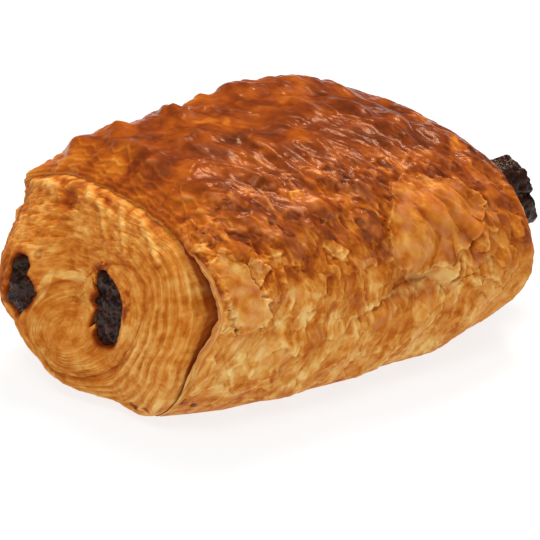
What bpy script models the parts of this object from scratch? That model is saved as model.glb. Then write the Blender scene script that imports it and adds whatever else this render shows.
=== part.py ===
"""A baked pain au chocolat: a flat roll of flaky pastry with two chocolate sticks running through it.

The roll lies along X. Its near end, where the inner coils push out past the outer wrap, is at -X, its
front side at -Y, and it rests on its flat underside at Z = 0. All sizes are in metres, and a turn is an
angle round the roll, from the back (0) over the top (90 degrees) to the front (180) and back underneath.
"""
import bpy
import bmesh
import numpy as np

# The outer wrap, from rim to rim
NEAR_RIM = -0.0424
NEAR_RIM_SKEW = 0.0006
NEAR_RIM_DROOP = 0.0048
NEAR_DROOP_TURNS = (170.0, 203.0, 206.0, 290.0)
FAR_RIM = 0.0440
FAR_RIM_TUCK = 0.0040
HALF_WIDTH = 0.0372
FAR_SIDE_DROP = 0.0030
FAR_SIDE_POWER = 5.0
CROWN = 0.0514
NEAR_CROWN_DROP = 0.0056
NEAR_CROWN_START = -0.022
NEAR_CROWN_POWER = 2.2
FAR_CROWN_DROP = 0.0110
FAR_CROWN_START = 0.000
FAR_CROWN_POWER = 2.3

# The roundness of its outline at the near rim, just behind it, half way and at the far rim
SHARES = (0.0, 0.16, 0.5, 1.0)
WIDEST_LEVELS = (0.0275, 0.0262, 0.0235, 0.0195)
UNDERSIDE_DEPTH = 0.0050
LOWER_POWERS = (1.78, 2.28, 2.65, 1.80)
FRONT_SHOULDER_POWER = 2.10
BACK_SHOULDER_POWERS = (2.55, 2.85, 3.45, 2.60)

# The edge of the wrap and the gap between it and the coils
LIP = 0.0020
LIP_ROUND = 0.0007
LIP_CREST_SHARE = 0.55
LIP_SHOULDER_SHARE = 0.15
GAP_NARROW = 0.0009
GAP_WIDE = 0.0030
GAP_SHALLOW = 0.0018
GAP_DEEP = 0.0075
GAP_FLOOR_DIP = 0.0004
GAP_WALL_SHARE = 0.6
GAP_START_STEP = 0.84
PRESSED_EDGE = 0.12
PRESSED_SINES = (-0.35, -0.85)

# The ends: each one's dome of coils, which pushes out past the rim, its lobes as
# (y, z, half y, half z, rise), and where the gap opens as (turn, spread, share of the widest)
NEAR_END = {
    "rim": NEAR_RIM,
    "side": -1.0,
    "middle": (0.0020, 0.0165),
    "dome": 0.0096,
    "lobes": (
        (0.0180, 0.0208, 0.0155, 0.0185, 0.0078),
        (0.0032, 0.0090, 0.0160, 0.0135, 0.0061),
    ),
    "openings": ((np.radians(186.0), np.radians(38.0), 1.0),),
    "steps": (0.10, 0.22, 0.34, 0.46, 0.58, 0.69, 0.79, 0.88, 0.94, 0.975),
}
FAR_END = {
    "rim": FAR_RIM,
    "side": 1.0,
    "middle": (0.0010, 0.0190),
    "dome": 0.0036,
    "lobes": (
        (0.0190, 0.0200, 0.0130, 0.0150, 0.0016),
        (-0.0110, 0.0240, 0.0130, 0.0150, 0.0014),
    ),
    "openings": ((np.radians(20.0), np.radians(32.0), 0.55),),
    "steps": (0.12, 0.30, 0.48, 0.66, 0.82, 0.93),
}
SOFT_EDGE = (2.2, 0.70)
FULL_EDGE = (6.0, 0.40)
FULL_TURN = np.radians(300.0)
RIM_FOLLOW_POWER = 8.0
LOBE_FADE_STEP = 0.80
OUTLINE_POINTS = 180

# Relief of the crust: broad waves, raised flakes, the torn ledge along the front and the hollow above it
CREST_LEVEL = 0.45
CREST_LEAN = 1.3
RIM_FADE = 0.006
BASE_FADE = 0.006
GIRTH = 0.036
WAVE_RELIEF = 0.0006
WAVES_ALONG = (260.0, 95.0)
WAVES_ROUND = (2.0, 5.0)
WAVE_BEND = 3.0
FLAKES = 110
FLAKE_SEED = 41
FLAKE_TURNS = (25.0, 172.0)
FLAKE_HALF_LENGTH = (0.0045, 0.0085)
FLAKE_HALF_BREADTH = (0.0022, 0.0038)
FLAKE_RISE = (0.0004, 0.0012)
FLAKE_LEAN_TURNS = (25.0, 90.0, 110.0, 135.0, 158.0, 172.0)
FLAKE_LEANS = (100.0, 84.0, 70.0, 50.0, 66.0, 84.0)
FLAKE_LEAN_SPREAD = 18.0
PLACED_FLAKES = (
    (0.0190, 64.0, 0.0300, 0.0110, 0.0027, 0.0),
    (-0.0335, 164.0, 0.0065, 0.0105, 0.0010, 0.0),
    (0.0105, 154.0, 0.0085, 0.0090, 0.0015, 0.0),
)
LEDGE_START = -0.030
LEDGE_STOP = 0.036
LEDGE_EASE = 0.012
LEDGE_LEVEL = 0.0194
LEDGE_SLOPE = 0.055
LEDGE_WANDER = 0.0010
LEDGE_WAVES = 230.0
LEDGE_DEPTH = 0.0012
LEDGE_STEP = 0.0030
LEDGE_HOLLOW = (0.0025, 0.0095)
LEDGE_HOLLOW_SHARE = 0.6
FRONT_EASE = 0.010
HOLLOW = (0.0085, 0.0245, 0.0115, 0.0060, 0.0024)

# The sticks: where each crosses the rims as (y, z), its size, how its top leans, and how far one stands out
STICKS = {
    "front": {
        "near": (-0.0090, 0.0232),
        "far": (-0.0110, 0.0244),
        "half_width": 0.0049,
        "half_height": 0.0078,
        "lean": 0.24,
        "stands_out": 0.0589,
    },
    "back": {
        "near": (0.0145, 0.0215),
        "far": (0.0172, 0.0212),
        "half_width": 0.0040,
        "half_height": 0.0075,
        "lean": 0.0,
        "stands_out": None,
    },
}
STICK_POWER = 3.4
STICK_LEAN_SINES = (-0.5, 0.7)
STICK_NOTCH = 0.0016
STICK_NOTCH_TURN = 0.15
STICK_NOTCH_SPREAD = 0.35
STICK_WOBBLE = 0.00035
STICK_SIDES = 3.0
STICK_TWIST = 7.0
STICK_PROUD = 0.0003
STICK_ROUND = 0.0010
STICK_SLANT = 0.12
CLEARANCE = 0.0003
CHANNEL_START = -0.070
CHANNEL_END = 0.064

# The mesh: points round the roll, and rings along each stretch of it
POINTS_ROUND = 86
BODY_RINGS = 27
RIM_SHARE = 0.02
STICK_POINTS = 24
STICK_RINGS = 13

# Plain finishes
CRUST = (0.50, 0.18, 0.03)
CRUST_ROUGHNESS = 0.45
CHOCOLATE = (0.035, 0.016, 0.011)
CHOCOLATE_ROUGHNESS = 0.40
SHARP_ANGLE = 45.0


def clear_scene():
    for item in list(bpy.data.objects):
        bpy.data.objects.remove(item, do_unlink=True)


def ease(start, end, value):
    """A smooth 0 to 1 as value goes from start to end."""
    share = np.clip((value - start) / (end - start), 0.0, 1.0)
    return share * share * (3.0 - 2.0 * share)


def signed_power(value, power):
    return np.sign(value) * np.abs(value) ** power


def angle_between(turn, other):
    return np.angle(np.exp(1j * (turn - other)))


def dome(across, up, half_across, half_up):
    """A round-topped mound, 1 at its middle and 0 outside its oval."""
    reach = (across / half_across) ** 2 + (up / half_up) ** 2
    return np.clip(1.0 - reach, 0.0, None) ** 1.5


def roll_share(x):
    """0 at the near rim and 1 at the far one."""
    return (x - NEAR_RIM) / (FAR_RIM - NEAR_RIM)


def crown(x):
    near = np.clip((NEAR_CROWN_START - x) / (NEAR_CROWN_START - NEAR_RIM), 0.0, None)
    far = np.clip((x - FAR_CROWN_START) / (FAR_RIM - FAR_CROWN_START), 0.0, None)
    return CROWN - NEAR_CROWN_DROP * near ** NEAR_CROWN_POWER - FAR_CROWN_DROP * far ** FAR_CROWN_POWER


def half_width(x):
    far = np.clip((x - FAR_CROWN_START) / (FAR_RIM - FAR_CROWN_START), 0.0, None)
    return HALF_WIDTH - FAR_SIDE_DROP * far ** FAR_SIDE_POWER


def section(x, turn):
    """The roll's outline at x, round the turn."""
    share = roll_share(x)
    across, up = np.cos(turn), np.sin(turn)
    widest = np.interp(share, SHARES, WIDEST_LEVELS)
    lower = np.interp(share, SHARES, LOWER_POWERS)
    back = np.interp(share, SHARES, BACK_SHOULDER_POWERS)
    shoulder = np.where(across > 0.0, back, FRONT_SHOULDER_POWER)
    power = np.where(up > 0.0, shoulder, lower)
    reach = np.where(up > 0.0, crown(x) - widest, widest + UNDERSIDE_DEPTH)
    y = half_width(x) * signed_power(across, 2.0 / power)
    z = widest + reach * signed_power(up, 2.0 / power)
    return y, np.maximum(z, 0.0)


def rim_shift(turn, end):
    """How far a rim strays along X: the near one sweeps out at its foot, the far one tucks in."""
    if end is NEAR_END:
        start, full, ebb, stop = np.radians(NEAR_DROOP_TURNS)
        droop = ease(start, full, turn) * ease(stop, ebb, turn)
        return -NEAR_RIM_SKEW * np.cos(turn) - NEAR_RIM_DROOP * droop
    return -FAR_RIM_TUCK * ease(0.1, -1.0, np.sin(turn))


def raised_flakes():
    """The raised flakes, placed and seeded, as (x, turn, half length, half breadth, rise, slant)."""
    rows = []
    for x, turn, half_length, half_breadth, rise, slant in PLACED_FLAKES:
        rows.append((x, np.radians(turn), half_length, half_breadth, rise, np.radians(slant)))
    draw = np.random.default_rng(FLAKE_SEED)
    for _ in range(FLAKES):
        turn = draw.uniform(*FLAKE_TURNS)
        slant = np.interp(turn, FLAKE_LEAN_TURNS, FLAKE_LEANS) + draw.uniform(-1.0, 1.0) * FLAKE_LEAN_SPREAD
        rows.append((
            draw.uniform(NEAR_RIM + RIM_FADE, FAR_RIM - RIM_FADE),
            np.radians(turn),
            draw.uniform(*FLAKE_HALF_LENGTH),
            draw.uniform(*FLAKE_HALF_BREADTH),
            draw.uniform(*FLAKE_RISE),
            np.radians(slant),
        ))
    return rows


def top_relief(x, turn):
    """Broad waves and the long raised flakes, which run over the roll and aslant on its shoulder."""
    bend = WAVE_BEND * np.sin(turn * WAVES_ROUND[0])
    relief = WAVE_RELIEF * np.sin(x * WAVES_ALONG[0] + bend)
    relief = relief * np.sin(turn * WAVES_ROUND[1] + x * WAVES_ALONG[1])
    for middle, middle_turn, half_length, half_breadth, rise, slant in raised_flakes():
        along = x - middle
        around = (turn - middle_turn) * GIRTH
        lengthwise = along * np.cos(slant) + around * np.sin(slant)
        crosswise = around * np.cos(slant) - along * np.sin(slant)
        relief = relief + rise * dome(lengthwise, crosswise, half_length, half_breadth)
    return relief


def front_relief(x, y, z):
    """The torn ledge along the front's foot, and the hollow above its far stretch."""
    front = ease(0.0, -FRONT_EASE, y)
    level = LEDGE_LEVEL + LEDGE_SLOPE * x + LEDGE_WANDER * np.sin(x * LEDGE_WAVES)
    below = ease(level + LEDGE_STEP, level, z)
    above = ease(level + LEDGE_HOLLOW[1], level + LEDGE_HOLLOW[0], z) * (1.0 - below)
    reach = ease(LEDGE_START, LEDGE_START + LEDGE_EASE, x) * ease(LEDGE_STOP, LEDGE_STOP - LEDGE_EASE, x)
    ledge = LEDGE_DEPTH * reach * (below - LEDGE_HOLLOW_SHARE * above)
    hollow_x, hollow_z, half_x, half_z, depth = HOLLOW
    return front * (ledge - depth * dome(x - hollow_x, z - hollow_z, half_x, half_z))


def body_ring(x, turn):
    """One ring of the outer crust, with its relief pushed out across the roll."""
    y, z = section(x, turn)
    rims = ease(NEAR_RIM, NEAR_RIM + RIM_FADE, x) * ease(FAR_RIM, FAR_RIM - RIM_FADE, x)
    out_y, out_z = y, (z - CREST_LEVEL * crown(x)) * CREST_LEAN
    size = np.hypot(out_y, out_z)
    push = (top_relief(x, turn) + front_relief(x, y, z)) * rims * ease(0.0, BASE_FADE, z)
    return y + push * out_y / size, np.maximum(z + push * out_z / size, 0.0)


def inset(y, z, amount):
    """The outline drawn in by an amount, square to itself."""
    along_y = np.roll(y, -1) - np.roll(y, 1)
    along_z = np.roll(z, -1) - np.roll(z, 1)
    size = np.maximum(np.hypot(along_y, along_z), 1e-9)
    return y - amount * along_z / size, z + amount * along_y / size


def edge_sizes(turn, end):
    """The wrap's edge thickness, the gap beside it and the gap's depth; all but gone under the roll."""
    free = 1.0 - ease(*PRESSED_SINES, np.sin(turn))
    wide = 0.0
    for opening, spread, share in end["openings"]:
        wide = wide + share * np.exp(-(angle_between(turn, opening) / spread) ** 2)
    free_edge = PRESSED_EDGE + (1.0 - PRESSED_EDGE) * free
    lip = LIP * free_edge
    gap = (GAP_NARROW + (GAP_WIDE - GAP_NARROW) * wide) * free_edge
    depth = (GAP_SHALLOW + (GAP_DEEP - GAP_SHALLOW) * wide) * free
    return lip, gap, depth


def coil_outline(turn, end):
    lip, gap, _ = edge_sizes(turn, end)
    return inset(*section(end["rim"], turn), lip + gap)


def face_x(y, z, end):
    """Where an end face lies along X at a point of it, from its share of the way out to the coils' edge."""
    turn = np.linspace(0.0, 2.0 * np.pi, OUTLINE_POINTS, endpoint=False)
    edge_y, edge_z = coil_outline(turn, end)
    middle_y, middle_z = end["middle"]
    edge_angle = np.arctan2(edge_z - middle_z, edge_y - middle_y)
    edge_reach = np.hypot(edge_y - middle_y, edge_z - middle_z)
    angle = np.arctan2(z - middle_z, y - middle_y)
    reach = np.interp(angle, edge_angle, edge_reach, period=2.0 * np.pi)
    shift = np.interp(angle, edge_angle, rim_shift(turn, end), period=2.0 * np.pi)
    step = np.clip(np.hypot(y - middle_y, z - middle_z) / reach, 0.0, 1.0)
    full = 0.5 + 0.5 * np.cos(angle - FULL_TURN)
    power = SOFT_EDGE[0] + (FULL_EDGE[0] - SOFT_EDGE[0]) * full
    root = SOFT_EDGE[1] + (FULL_EDGE[1] - SOFT_EDGE[1]) * full
    push = end["dome"] * (1.0 - step ** power) ** root
    fade = ease(1.0, LOBE_FADE_STEP, step)
    for lobe_y, lobe_z, half_y, half_z, rise in end["lobes"]:
        push = push + fade * rise * dome(y - lobe_y, z - lobe_z, half_y, half_z)
    return end["rim"] + shift * step ** RIM_FOLLOW_POWER + end["side"] * push


def end_rings(turn, end):
    """Rings from the middle of an end face out over the gap to the wrap's edge."""
    outline = section(end["rim"], turn)
    lip, gap, depth = edge_sizes(turn, end)
    edge_y, edge_z = coil_outline(turn, end)
    middle_y, middle_z = end["middle"]
    rings = []
    for step in end["steps"]:
        y = middle_y + step * (edge_y - middle_y)
        z = middle_z + step * (edge_z - middle_z)
        sunk = depth * ease(GAP_START_STEP, 1.0, step)
        rings.append(np.stack([face_x(y, z, end) - end["side"] * sunk, y, z], axis=1))
    edge = end["rim"] + rim_shift(turn, end)
    for amount, push in (
        (lip + gap, -depth),
        (lip + 0.5 * gap, -depth - GAP_FLOOR_DIP),
        (lip, -GAP_WALL_SHARE * depth),
        (lip, -LIP_ROUND),
        (LIP_CREST_SHARE * lip, 0.0),
        (LIP_SHOULDER_SHARE * lip, -LIP_ROUND),
    ):
        rings.append(np.stack([edge + end["side"] * push, *inset(*outline, amount)], axis=1))
    return rings


def pastry_rings():
    """All rings of the pastry from the near end's middle to the far end's."""
    turn = np.linspace(0.0, 2.0 * np.pi, POINTS_ROUND, endpoint=False)
    near_edge = NEAR_RIM + rim_shift(turn, NEAR_END)
    far_edge = FAR_RIM + rim_shift(turn, FAR_END)
    rings = end_rings(turn, NEAR_END)
    for share in np.linspace(RIM_SHARE, 1.0 - RIM_SHARE, BODY_RINGS):
        x = near_edge + (far_edge - near_edge) * share
        rings.append(np.stack([x, *body_ring(NEAR_RIM + (FAR_RIM - NEAR_RIM) * share, turn)], axis=1))
    return rings + end_rings(turn, FAR_END)[::-1]


def skin_rings(name, rings):
    """A closed object through a row of rings, with a point at each end."""
    mesh = bmesh.new()
    rows = [[mesh.verts.new(point) for point in ring] for ring in rings]
    count = len(rows[0])
    for first, second in zip(rows, rows[1:]):
        for here in range(count):
            after = (here + 1) % count
            mesh.faces.new((first[here], first[after], second[after], second[here]))
    for row, ring in ((rows[0], rings[0]), (rows[-1], rings[-1])):
        pole = mesh.verts.new(ring.mean(axis=0))
        for here in range(count):
            mesh.faces.new((row[here], row[(here + 1) % count], pole))
    bmesh.ops.triangulate(mesh, faces=mesh.faces)
    bmesh.ops.recalc_face_normals(mesh, faces=mesh.faces)
    data = bpy.data.meshes.new(name)
    mesh.to_mesh(data)
    mesh.free()
    item = bpy.data.objects.new(name, data)
    bpy.context.scene.collection.objects.link(item)
    return item


def stick_outline(stick, x, grow):
    """The stick's rough square outline at x, with the notch between its two chunks."""
    turn = np.linspace(0.0, 2.0 * np.pi, STICK_POINTS, endpoint=False)
    share = roll_share(x)
    middle_y = stick["near"][0] + (stick["far"][0] - stick["near"][0]) * share
    middle_z = stick["near"][1] + (stick["far"][1] - stick["near"][1]) * share
    wobble = STICK_WOBBLE * np.sin(STICK_SIDES * turn + STICK_TWIST * share)
    notch = STICK_NOTCH * np.exp(-(angle_between(turn, STICK_NOTCH_TURN) / STICK_NOTCH_SPREAD) ** 2)
    y = (stick["half_width"] + grow + wobble - notch) * signed_power(np.cos(turn), 2.0 / STICK_POWER)
    z = (stick["half_height"] + grow + wobble) * signed_power(np.sin(turn), 2.0 / STICK_POWER)
    lean = stick["lean"] * ease(*STICK_LEAN_SINES, np.sin(turn))
    return middle_y + y, middle_z + z + lean * y


def stick_ends(stick):
    """Where each point of the stick's outline starts and stops: level with the coils, or standing out."""
    start = face_x(*stick_outline(stick, NEAR_RIM, 0.0), NEAR_END) - STICK_PROUD
    y, z = stick_outline(stick, FAR_RIM, 0.0)
    if stick["stands_out"]:
        return start, stick["stands_out"] - STICK_SLANT * (z - stick["far"][1])
    return start, face_x(y, z, FAR_END) + STICK_PROUD


def stick_rings(stick):
    """Rings along a stick, with a smaller one at each end for its rounded cap."""
    start, stop = stick_ends(stick)
    rings = []
    for share in np.linspace(0.0, 1.0, STICK_RINGS):
        x = start + (stop - start) * share
        rings.append(np.stack([x, *stick_outline(stick, x, 0.0)], axis=1))
    near_cap = np.stack([start - STICK_PROUD, *stick_outline(stick, start, -STICK_ROUND)], axis=1)
    far_cap = np.stack([stop + STICK_PROUD, *stick_outline(stick, stop, -STICK_ROUND)], axis=1)
    return [near_cap] + rings + [far_cap]


def channel_rings(stick):
    """Rings of the way that a stick needs: a hair wider all round and past both ends of the pastry."""
    rings = []
    for x in np.linspace(CHANNEL_START, CHANNEL_END, STICK_RINGS):
        y, z = stick_outline(stick, x, CLEARANCE)
        rings.append(np.stack([np.full_like(y, x), y, z], axis=1))
    return rings


def cut_channel(pastry, stick, name):
    """Cuts the way of a stick through the pastry."""
    cutter = skin_rings(name, channel_rings(stick))
    cutter.hide_render = True
    cutter.display_type = "WIRE"
    cut = pastry.modifiers.new(name, "BOOLEAN")
    cut.operation = "DIFFERENCE"
    cut.solver = "EXACT"
    cut.object = cutter


def finish(item, colour, roughness):
    material = bpy.data.materials.new(item.name)
    material.use_nodes = True
    shader = material.node_tree.nodes["Principled BSDF"]
    shader.inputs["Base Color"].default_value = (*colour, 1.0)
    shader.inputs["Roughness"].default_value = roughness
    shader.inputs["Metallic"].default_value = 0.0
    item.data.materials.append(material)
    item.data.shade_smooth()
    item.data.set_sharp_from_angle(angle=np.radians(SHARP_ANGLE))


def build():
    clear_scene()
    pastry = skin_rings("pastry", pastry_rings())
    finish(pastry, CRUST, CRUST_ROUGHNESS)
    for side, stick in STICKS.items():
        bar = skin_rings("chocolate_stick_" + side, stick_rings(stick))
        finish(bar, CHOCOLATE, CHOCOLATE_ROUGHNESS)
        cut_channel(pastry, stick, "channel_" + side)


build()
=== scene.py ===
"""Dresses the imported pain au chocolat: a glazed, flaky crust, fine coils at its ends and rough chocolate.

The roll lies along X, with the coiled near end at -X and its front side at -Y. A turn is an angle round
the roll, as in the solids: 0 at the back, 90 degrees on top and 180 at the front. Sizes are in metres.
The relief, the torn sheets and the colours are worked out in millimetres on a flat map of the crust:
x along the roll, and s round it from the crown down the front.
"""
import itertools

import bpy
import numpy as np
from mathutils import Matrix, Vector


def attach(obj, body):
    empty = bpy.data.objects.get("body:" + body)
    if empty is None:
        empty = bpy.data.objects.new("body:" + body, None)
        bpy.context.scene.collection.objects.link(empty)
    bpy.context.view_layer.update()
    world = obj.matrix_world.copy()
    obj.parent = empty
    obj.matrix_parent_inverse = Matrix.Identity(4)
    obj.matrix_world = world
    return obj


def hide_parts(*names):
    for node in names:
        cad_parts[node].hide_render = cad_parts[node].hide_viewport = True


MM = 0.001

# The outer wrap, as in the solids
NEAR_RIM = -0.0424
NEAR_RIM_SKEW = 0.0006
NEAR_RIM_DROOP = 0.0048
NEAR_DROOP_TURNS = (170.0, 203.0, 206.0, 290.0)
FAR_RIM = 0.0440
FAR_RIM_TUCK = 0.0040
HALF_WIDTH = 0.0372
FAR_SIDE_DROP = 0.0030
FAR_SIDE_POWER = 5.0
CROWN = 0.0514
NEAR_CROWN_DROP = 0.0056
NEAR_CROWN_START = -0.022
NEAR_CROWN_POWER = 2.2
FAR_CROWN_DROP = 0.0110
FAR_CROWN_START = 0.000
FAR_CROWN_POWER = 2.3
SHARES = (0.0, 0.16, 0.5, 1.0)
WIDEST_LEVELS = (0.0275, 0.0262, 0.0235, 0.0195)
UNDERSIDE_DEPTH = 0.0050
LOWER_POWERS = (1.78, 2.28, 2.65, 1.80)
FRONT_SHOULDER_POWER = 2.10
BACK_SHOULDER_POWERS = (2.55, 2.85, 3.45, 2.60)

# The wrap's edge and the gap beside it, as in the solids
LIP = 0.0020
LIP_ROUND = 0.0007
GAP_NARROW = 0.0009
GAP_WIDE = 0.0030
GAP_SHALLOW = 0.0018
GAP_DEEP = 0.0075
GAP_START_STEP = 0.84
PRESSED_EDGE = 0.12
PRESSED_SINES = (-0.35, -0.85)

# Over the top of the near end the layers lie pressed together, so the gap shows there only as a crease
PINCHED_TURN = np.radians(52.0)
PINCHED_SPREAD = np.radians(62.0)
LIP_SHARE = 0.66
NEAR_GAP_SHARE = 0.5
PINCHED_GAP_LOSS = 0.85
PINCHED_DEPTH_LOSS = 0.80
WHOLE_LIP_TURNS = (172.0, 194.0, 320.0, 350.0)
LEAST_WALL = 1.1
FLOOR_SHARES = (0.4, 0.8, 1.2)

# There the wrap also comes down to the coils in torn steps: turns, whole drop, and each step's place in mm;
# and a hood stands out at its upper left: its turn, spread and reach in mm
STEPPED_TURNS = (24.0, 52.0, 124.0, 150.0)
STEPPED_DROP = 1.7
STEP_PLACES = (1.0, 1.9, 3.1, 4.8, 7.0)
FIRST_STEP = 0.9
JAG_FADE = 6.0
HOOD = (np.radians(30.0), np.radians(11.0), 1.8)

# The end faces, as in the solids: their domes of coils, lobes and openings
NEAR_END = {
    "rim": NEAR_RIM,
    "side": -1.0,
    "middle": (0.0020, 0.0165),
    "dome": 0.0096,
    "lobes": (
        (0.0180, 0.0208, 0.0155, 0.0185, 0.0078),
        (0.0032, 0.0090, 0.0160, 0.0135, 0.0061),
    ),
    "openings": ((np.radians(164.0), np.radians(23.0), 1.0),),
}
FAR_END = {
    "rim": FAR_RIM,
    "side": 1.0,
    "middle": (0.0010, 0.0190),
    "dome": 0.0036,
    "lobes": (
        (0.0190, 0.0200, 0.0130, 0.0150, 0.0016),
        (-0.0110, 0.0240, 0.0130, 0.0150, 0.0014),
    ),
    "openings": ((np.radians(20.0), np.radians(32.0), 0.55),),
}
SOFT_EDGE = (2.2, 0.70)
FULL_EDGE = (6.0, 0.40)
FULL_TURN = np.radians(300.0)
FRONT_FULL = (np.radians(-165.0), np.radians(45.0), 0.65)
RIM_FOLLOW_POWER = 8.0
NEAR_FOLLOW_POWER = 5.0
LOBE_FADE_STEP = 0.80
OUTLINE_POINTS = 180

# The solids' relief: waves, raised flakes, the torn ledge and the hollow
CREST_LEVEL = 0.45
CREST_LEAN = 1.3
RIM_FADE = 0.006
BASE_FADE = 0.006
GIRTH = 0.036
WAVE_RELIEF = 0.0006
WAVES_ALONG = (260.0, 95.0)
WAVES_ROUND = (2.0, 5.0)
WAVE_BEND = 3.0
FLAKES = 110
FLAKE_SEED = 41
FLAKE_TURNS = (25.0, 172.0)
FLAKE_HALF_LENGTH = (0.0045, 0.0085)
FLAKE_HALF_BREADTH = (0.0022, 0.0038)
FLAKE_RISE = (0.0004, 0.0012)
FLAKE_LEAN_TURNS = (25.0, 90.0, 110.0, 135.0, 158.0, 172.0)
FLAKE_LEANS = (100.0, 84.0, 70.0, 50.0, 66.0, 84.0)
FLAKE_LEAN_SPREAD = 18.0
PLACED_FLAKES = (
    (0.0190, 64.0, 0.0300, 0.0110, 0.0027, 0.0),
    (-0.0335, 164.0, 0.0065, 0.0105, 0.0010, 0.0),
    (0.0105, 154.0, 0.0085, 0.0090, 0.0015, 0.0),
)
LEDGE_START = -0.030
LEDGE_STOP = 0.036
LEDGE_EASE = 0.012
LEDGE_LEVEL = 0.0194
LEDGE_SLOPE = 0.055
LEDGE_WANDER = 0.0010
LEDGE_WAVES = 230.0
LEDGE_DEPTH = 0.0012
LEDGE_STEP = 0.0030
LEDGE_HOLLOW = (0.0025, 0.0095)
LEDGE_HOLLOW_SHARE = 0.6
FRONT_EASE = 0.010
HOLLOW = (0.0085, 0.0245, 0.0115, 0.0060, 0.0024)

# The sticks, as in the solids; a ragged outline is how far a broken near end reaches, as (y, z) in mm
STICKS = {
    "front": {
        "seed": 501,
        "near": (-0.0090, 0.0232),
        "far": (-0.0110, 0.0244),
        "half_width": 0.0049,
        "half_height": 0.0078,
        "lean": 0.24,
        "stands_out": 0.0589,
        "ragged": (
            (-4.0, 23.8), (-5.2, 26.2), (-5.0, 27.6), (-3.2, 28.6), (-4.0, 30.4), (-6.6, 31.2), (-8.4, 30.4),
            (-11.8, 29.6), (-13.8, 27.6), (-14.6, 23.2), (-13.8, 19.2), (-12.2, 16.4), (-8.4, 15.4),
            (-6.2, 16.8), (-4.8, 18.4), (-6.2, 19.8), (-6.0, 22.8),
        ),
    },
    "back": {
        "seed": 541,
        "near": (0.0145, 0.0215),
        "far": (0.0172, 0.0212),
        "half_width": 0.0040,
        "half_height": 0.0075,
        "lean": 0.0,
        "stands_out": None,
        "ragged": (
            (17.9, 27.0), (16.6, 28.8), (14.0, 28.6), (12.6, 26.8), (12.9, 25.2), (11.2, 23.6), (11.2, 20.4),
            (12.8, 17.4), (14.8, 15.2), (16.6, 17.6), (17.6, 20.4), (16.5, 22.6), (16.9, 24.6),
        ),
    },
}
STICK_POWER = 3.4
STICK_LEAN_SINES = (-0.5, 0.7)
STICK_SLANT = 0.24

# The crust's patches, as (first turn, last turn, columns, rows along the roll), and their own edges
PATCHES = {
    "crust_top": (60.0, 120.0, 190, 385),
    "crust_front": (120.0, 183.0, 190, 385),
    "crust_foot": (183.0, 245.0, 190, 385),
    "crust_under": (245.0, 300.0, 90, 240),
    "crust_back": (-60.0, 60.0, 250, 270),
}
# The toast field also carries painted highlights and painted shadows beside real browning
FIELDS = ("toast", "glaze", "crease", "bloom", "layer")
LIP_ROWS = 44
WALL_ROWS = 22
FAR_LIP_ROWS = 24
FAR_WALL_ROWS = 10
NEAR_LIP_SEED = 223
FAR_LIP_SEED = 211
COIL_TAIL = 0.0012
COIL_EDGE_FADE = 0.985
COIL_BASE_FADE = 0.004
CORE = (-0.030, 0.034, 0.020)
TUCK_DEPTH = 0.0085

# The coils' sectors, as (first turn, last turn), and their grids' columns and rows
COIL_SECTORS = {
    "top": (45.0, 135.0),
    "front": (135.0, 225.0),
    "foot": (225.0, 315.0),
    "back": (-45.0, 45.0),
}
NEAR_COIL_GRID = (240, 396)
FAR_COIL_GRID = (150, 160)
NEAR_GAP_START_STEP = 0.968

# Torn sheets of the crust: seed, length and breadth in mm, thickness, lift, tone, levels on top and in front
SHEETS = (
    (3, 17.0, 9.0, 0.28, 0.22, 0.05, -0.30, -0.12),
    (7, 14.0, 7.0, 0.22, 0.22, -0.06, -0.38, -0.08),
    (12, 11.0, 5.5, 0.18, 0.18, 0.06, -0.42, 0.00),
    (19, 9.0, 4.6, 0.16, 0.18, -0.07, -0.48, -0.02),
    (23, 8.0, 3.8, 0.12, 0.14, 0.06, -0.52, 0.06),
    (31, 5.2, 3.0, 0.10, 0.10, -0.04, -0.60, 0.05),
    (37, 3.6, 2.4, 0.06, 0.06, 0.03, -0.70, 0.05),
)
SHEET_STEP = 0.15
CRISP_EDGE = 0.10
SOFT_GLAZED_EDGE = 0.45
LIFT_REACH = 0.9
LEAST_SLOPE = 0.03
SHEET_REACH = 6.0

# Sheets drawn where the photograph has them: outline as (x mm, turn), thickness, lift, toast, how far that
# toast and the calm surface take over, painted sheen, how soft the edge is, and over which turns the sheet
# rises from its root
DRAWN_SHEETS = {
    "shoulder_flap": (((-41.6, 146.0), (-41.2, 166.0), (-39.6, 178.0), (-36.8, 184.0), (-33.6, 182.0),
                       (-30.9, 181.5), (-30.4, 175.0), (-33.2, 165.0), (-34.4, 152.0), (-37.5, 142.0)),
                      0.65, 0.25, 0.34, 0.80, 0.60, 0.10, (138.0, 150.0)),
    "bright_flake": (((-33.4, 151.0), (-30.6, 153.0), (-28.4, 158.0), (-30.6, 161.0), (-32.4, 164.0),
                      (-33.6, 157.0)),
                     0.30, 0.25, 0.22, 0.90, 0.80, 0.12, (136.0, 144.0)),
    "under_flake": (((6.6, 172.0), (7.4, 178.0), (9.4, 181.0), (13.4, 179.0), (16.0, 181.5), (19.6, 178.0),
                     (20.4, 172.0), (13.0, 169.0)),
                    0.30, 0.20, 0.20, 0.85, 0.20, 0.12, (160.0, 168.0)),
    "far_flap": (((8.2, 136.0), (5.4, 146.0), (3.2, 152.0), (3.6, 158.0), (1.8, 166.0), (3.8, 170.0),
                  (5.8, 168.5), (8.4, 172.0), (11.6, 173.5), (13.8, 170.0), (16.8, 172.0), (19.0, 168.0),
                  (22.0, 166.5), (26.0, 160.0), (30.0, 150.0), (26.0, 138.0), (14.0, 132.0)),
                 0.95, 0.40, 0.46, 0.75, 0.65, 0.10, (130.0, 144.0)),
    "top_fold": (((-43.0, 96.0), (-38.0, 88.0), (-30.0, 90.0), (-26.0, 100.0), (-33.0, 108.0),
                  (-41.0, 106.0)),
                 0.40, 0.05, 0.62, 0.35, 0.15, 0.60, (92.0, 106.0)),
}
SHEET_RAGGED = 0.75

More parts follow.
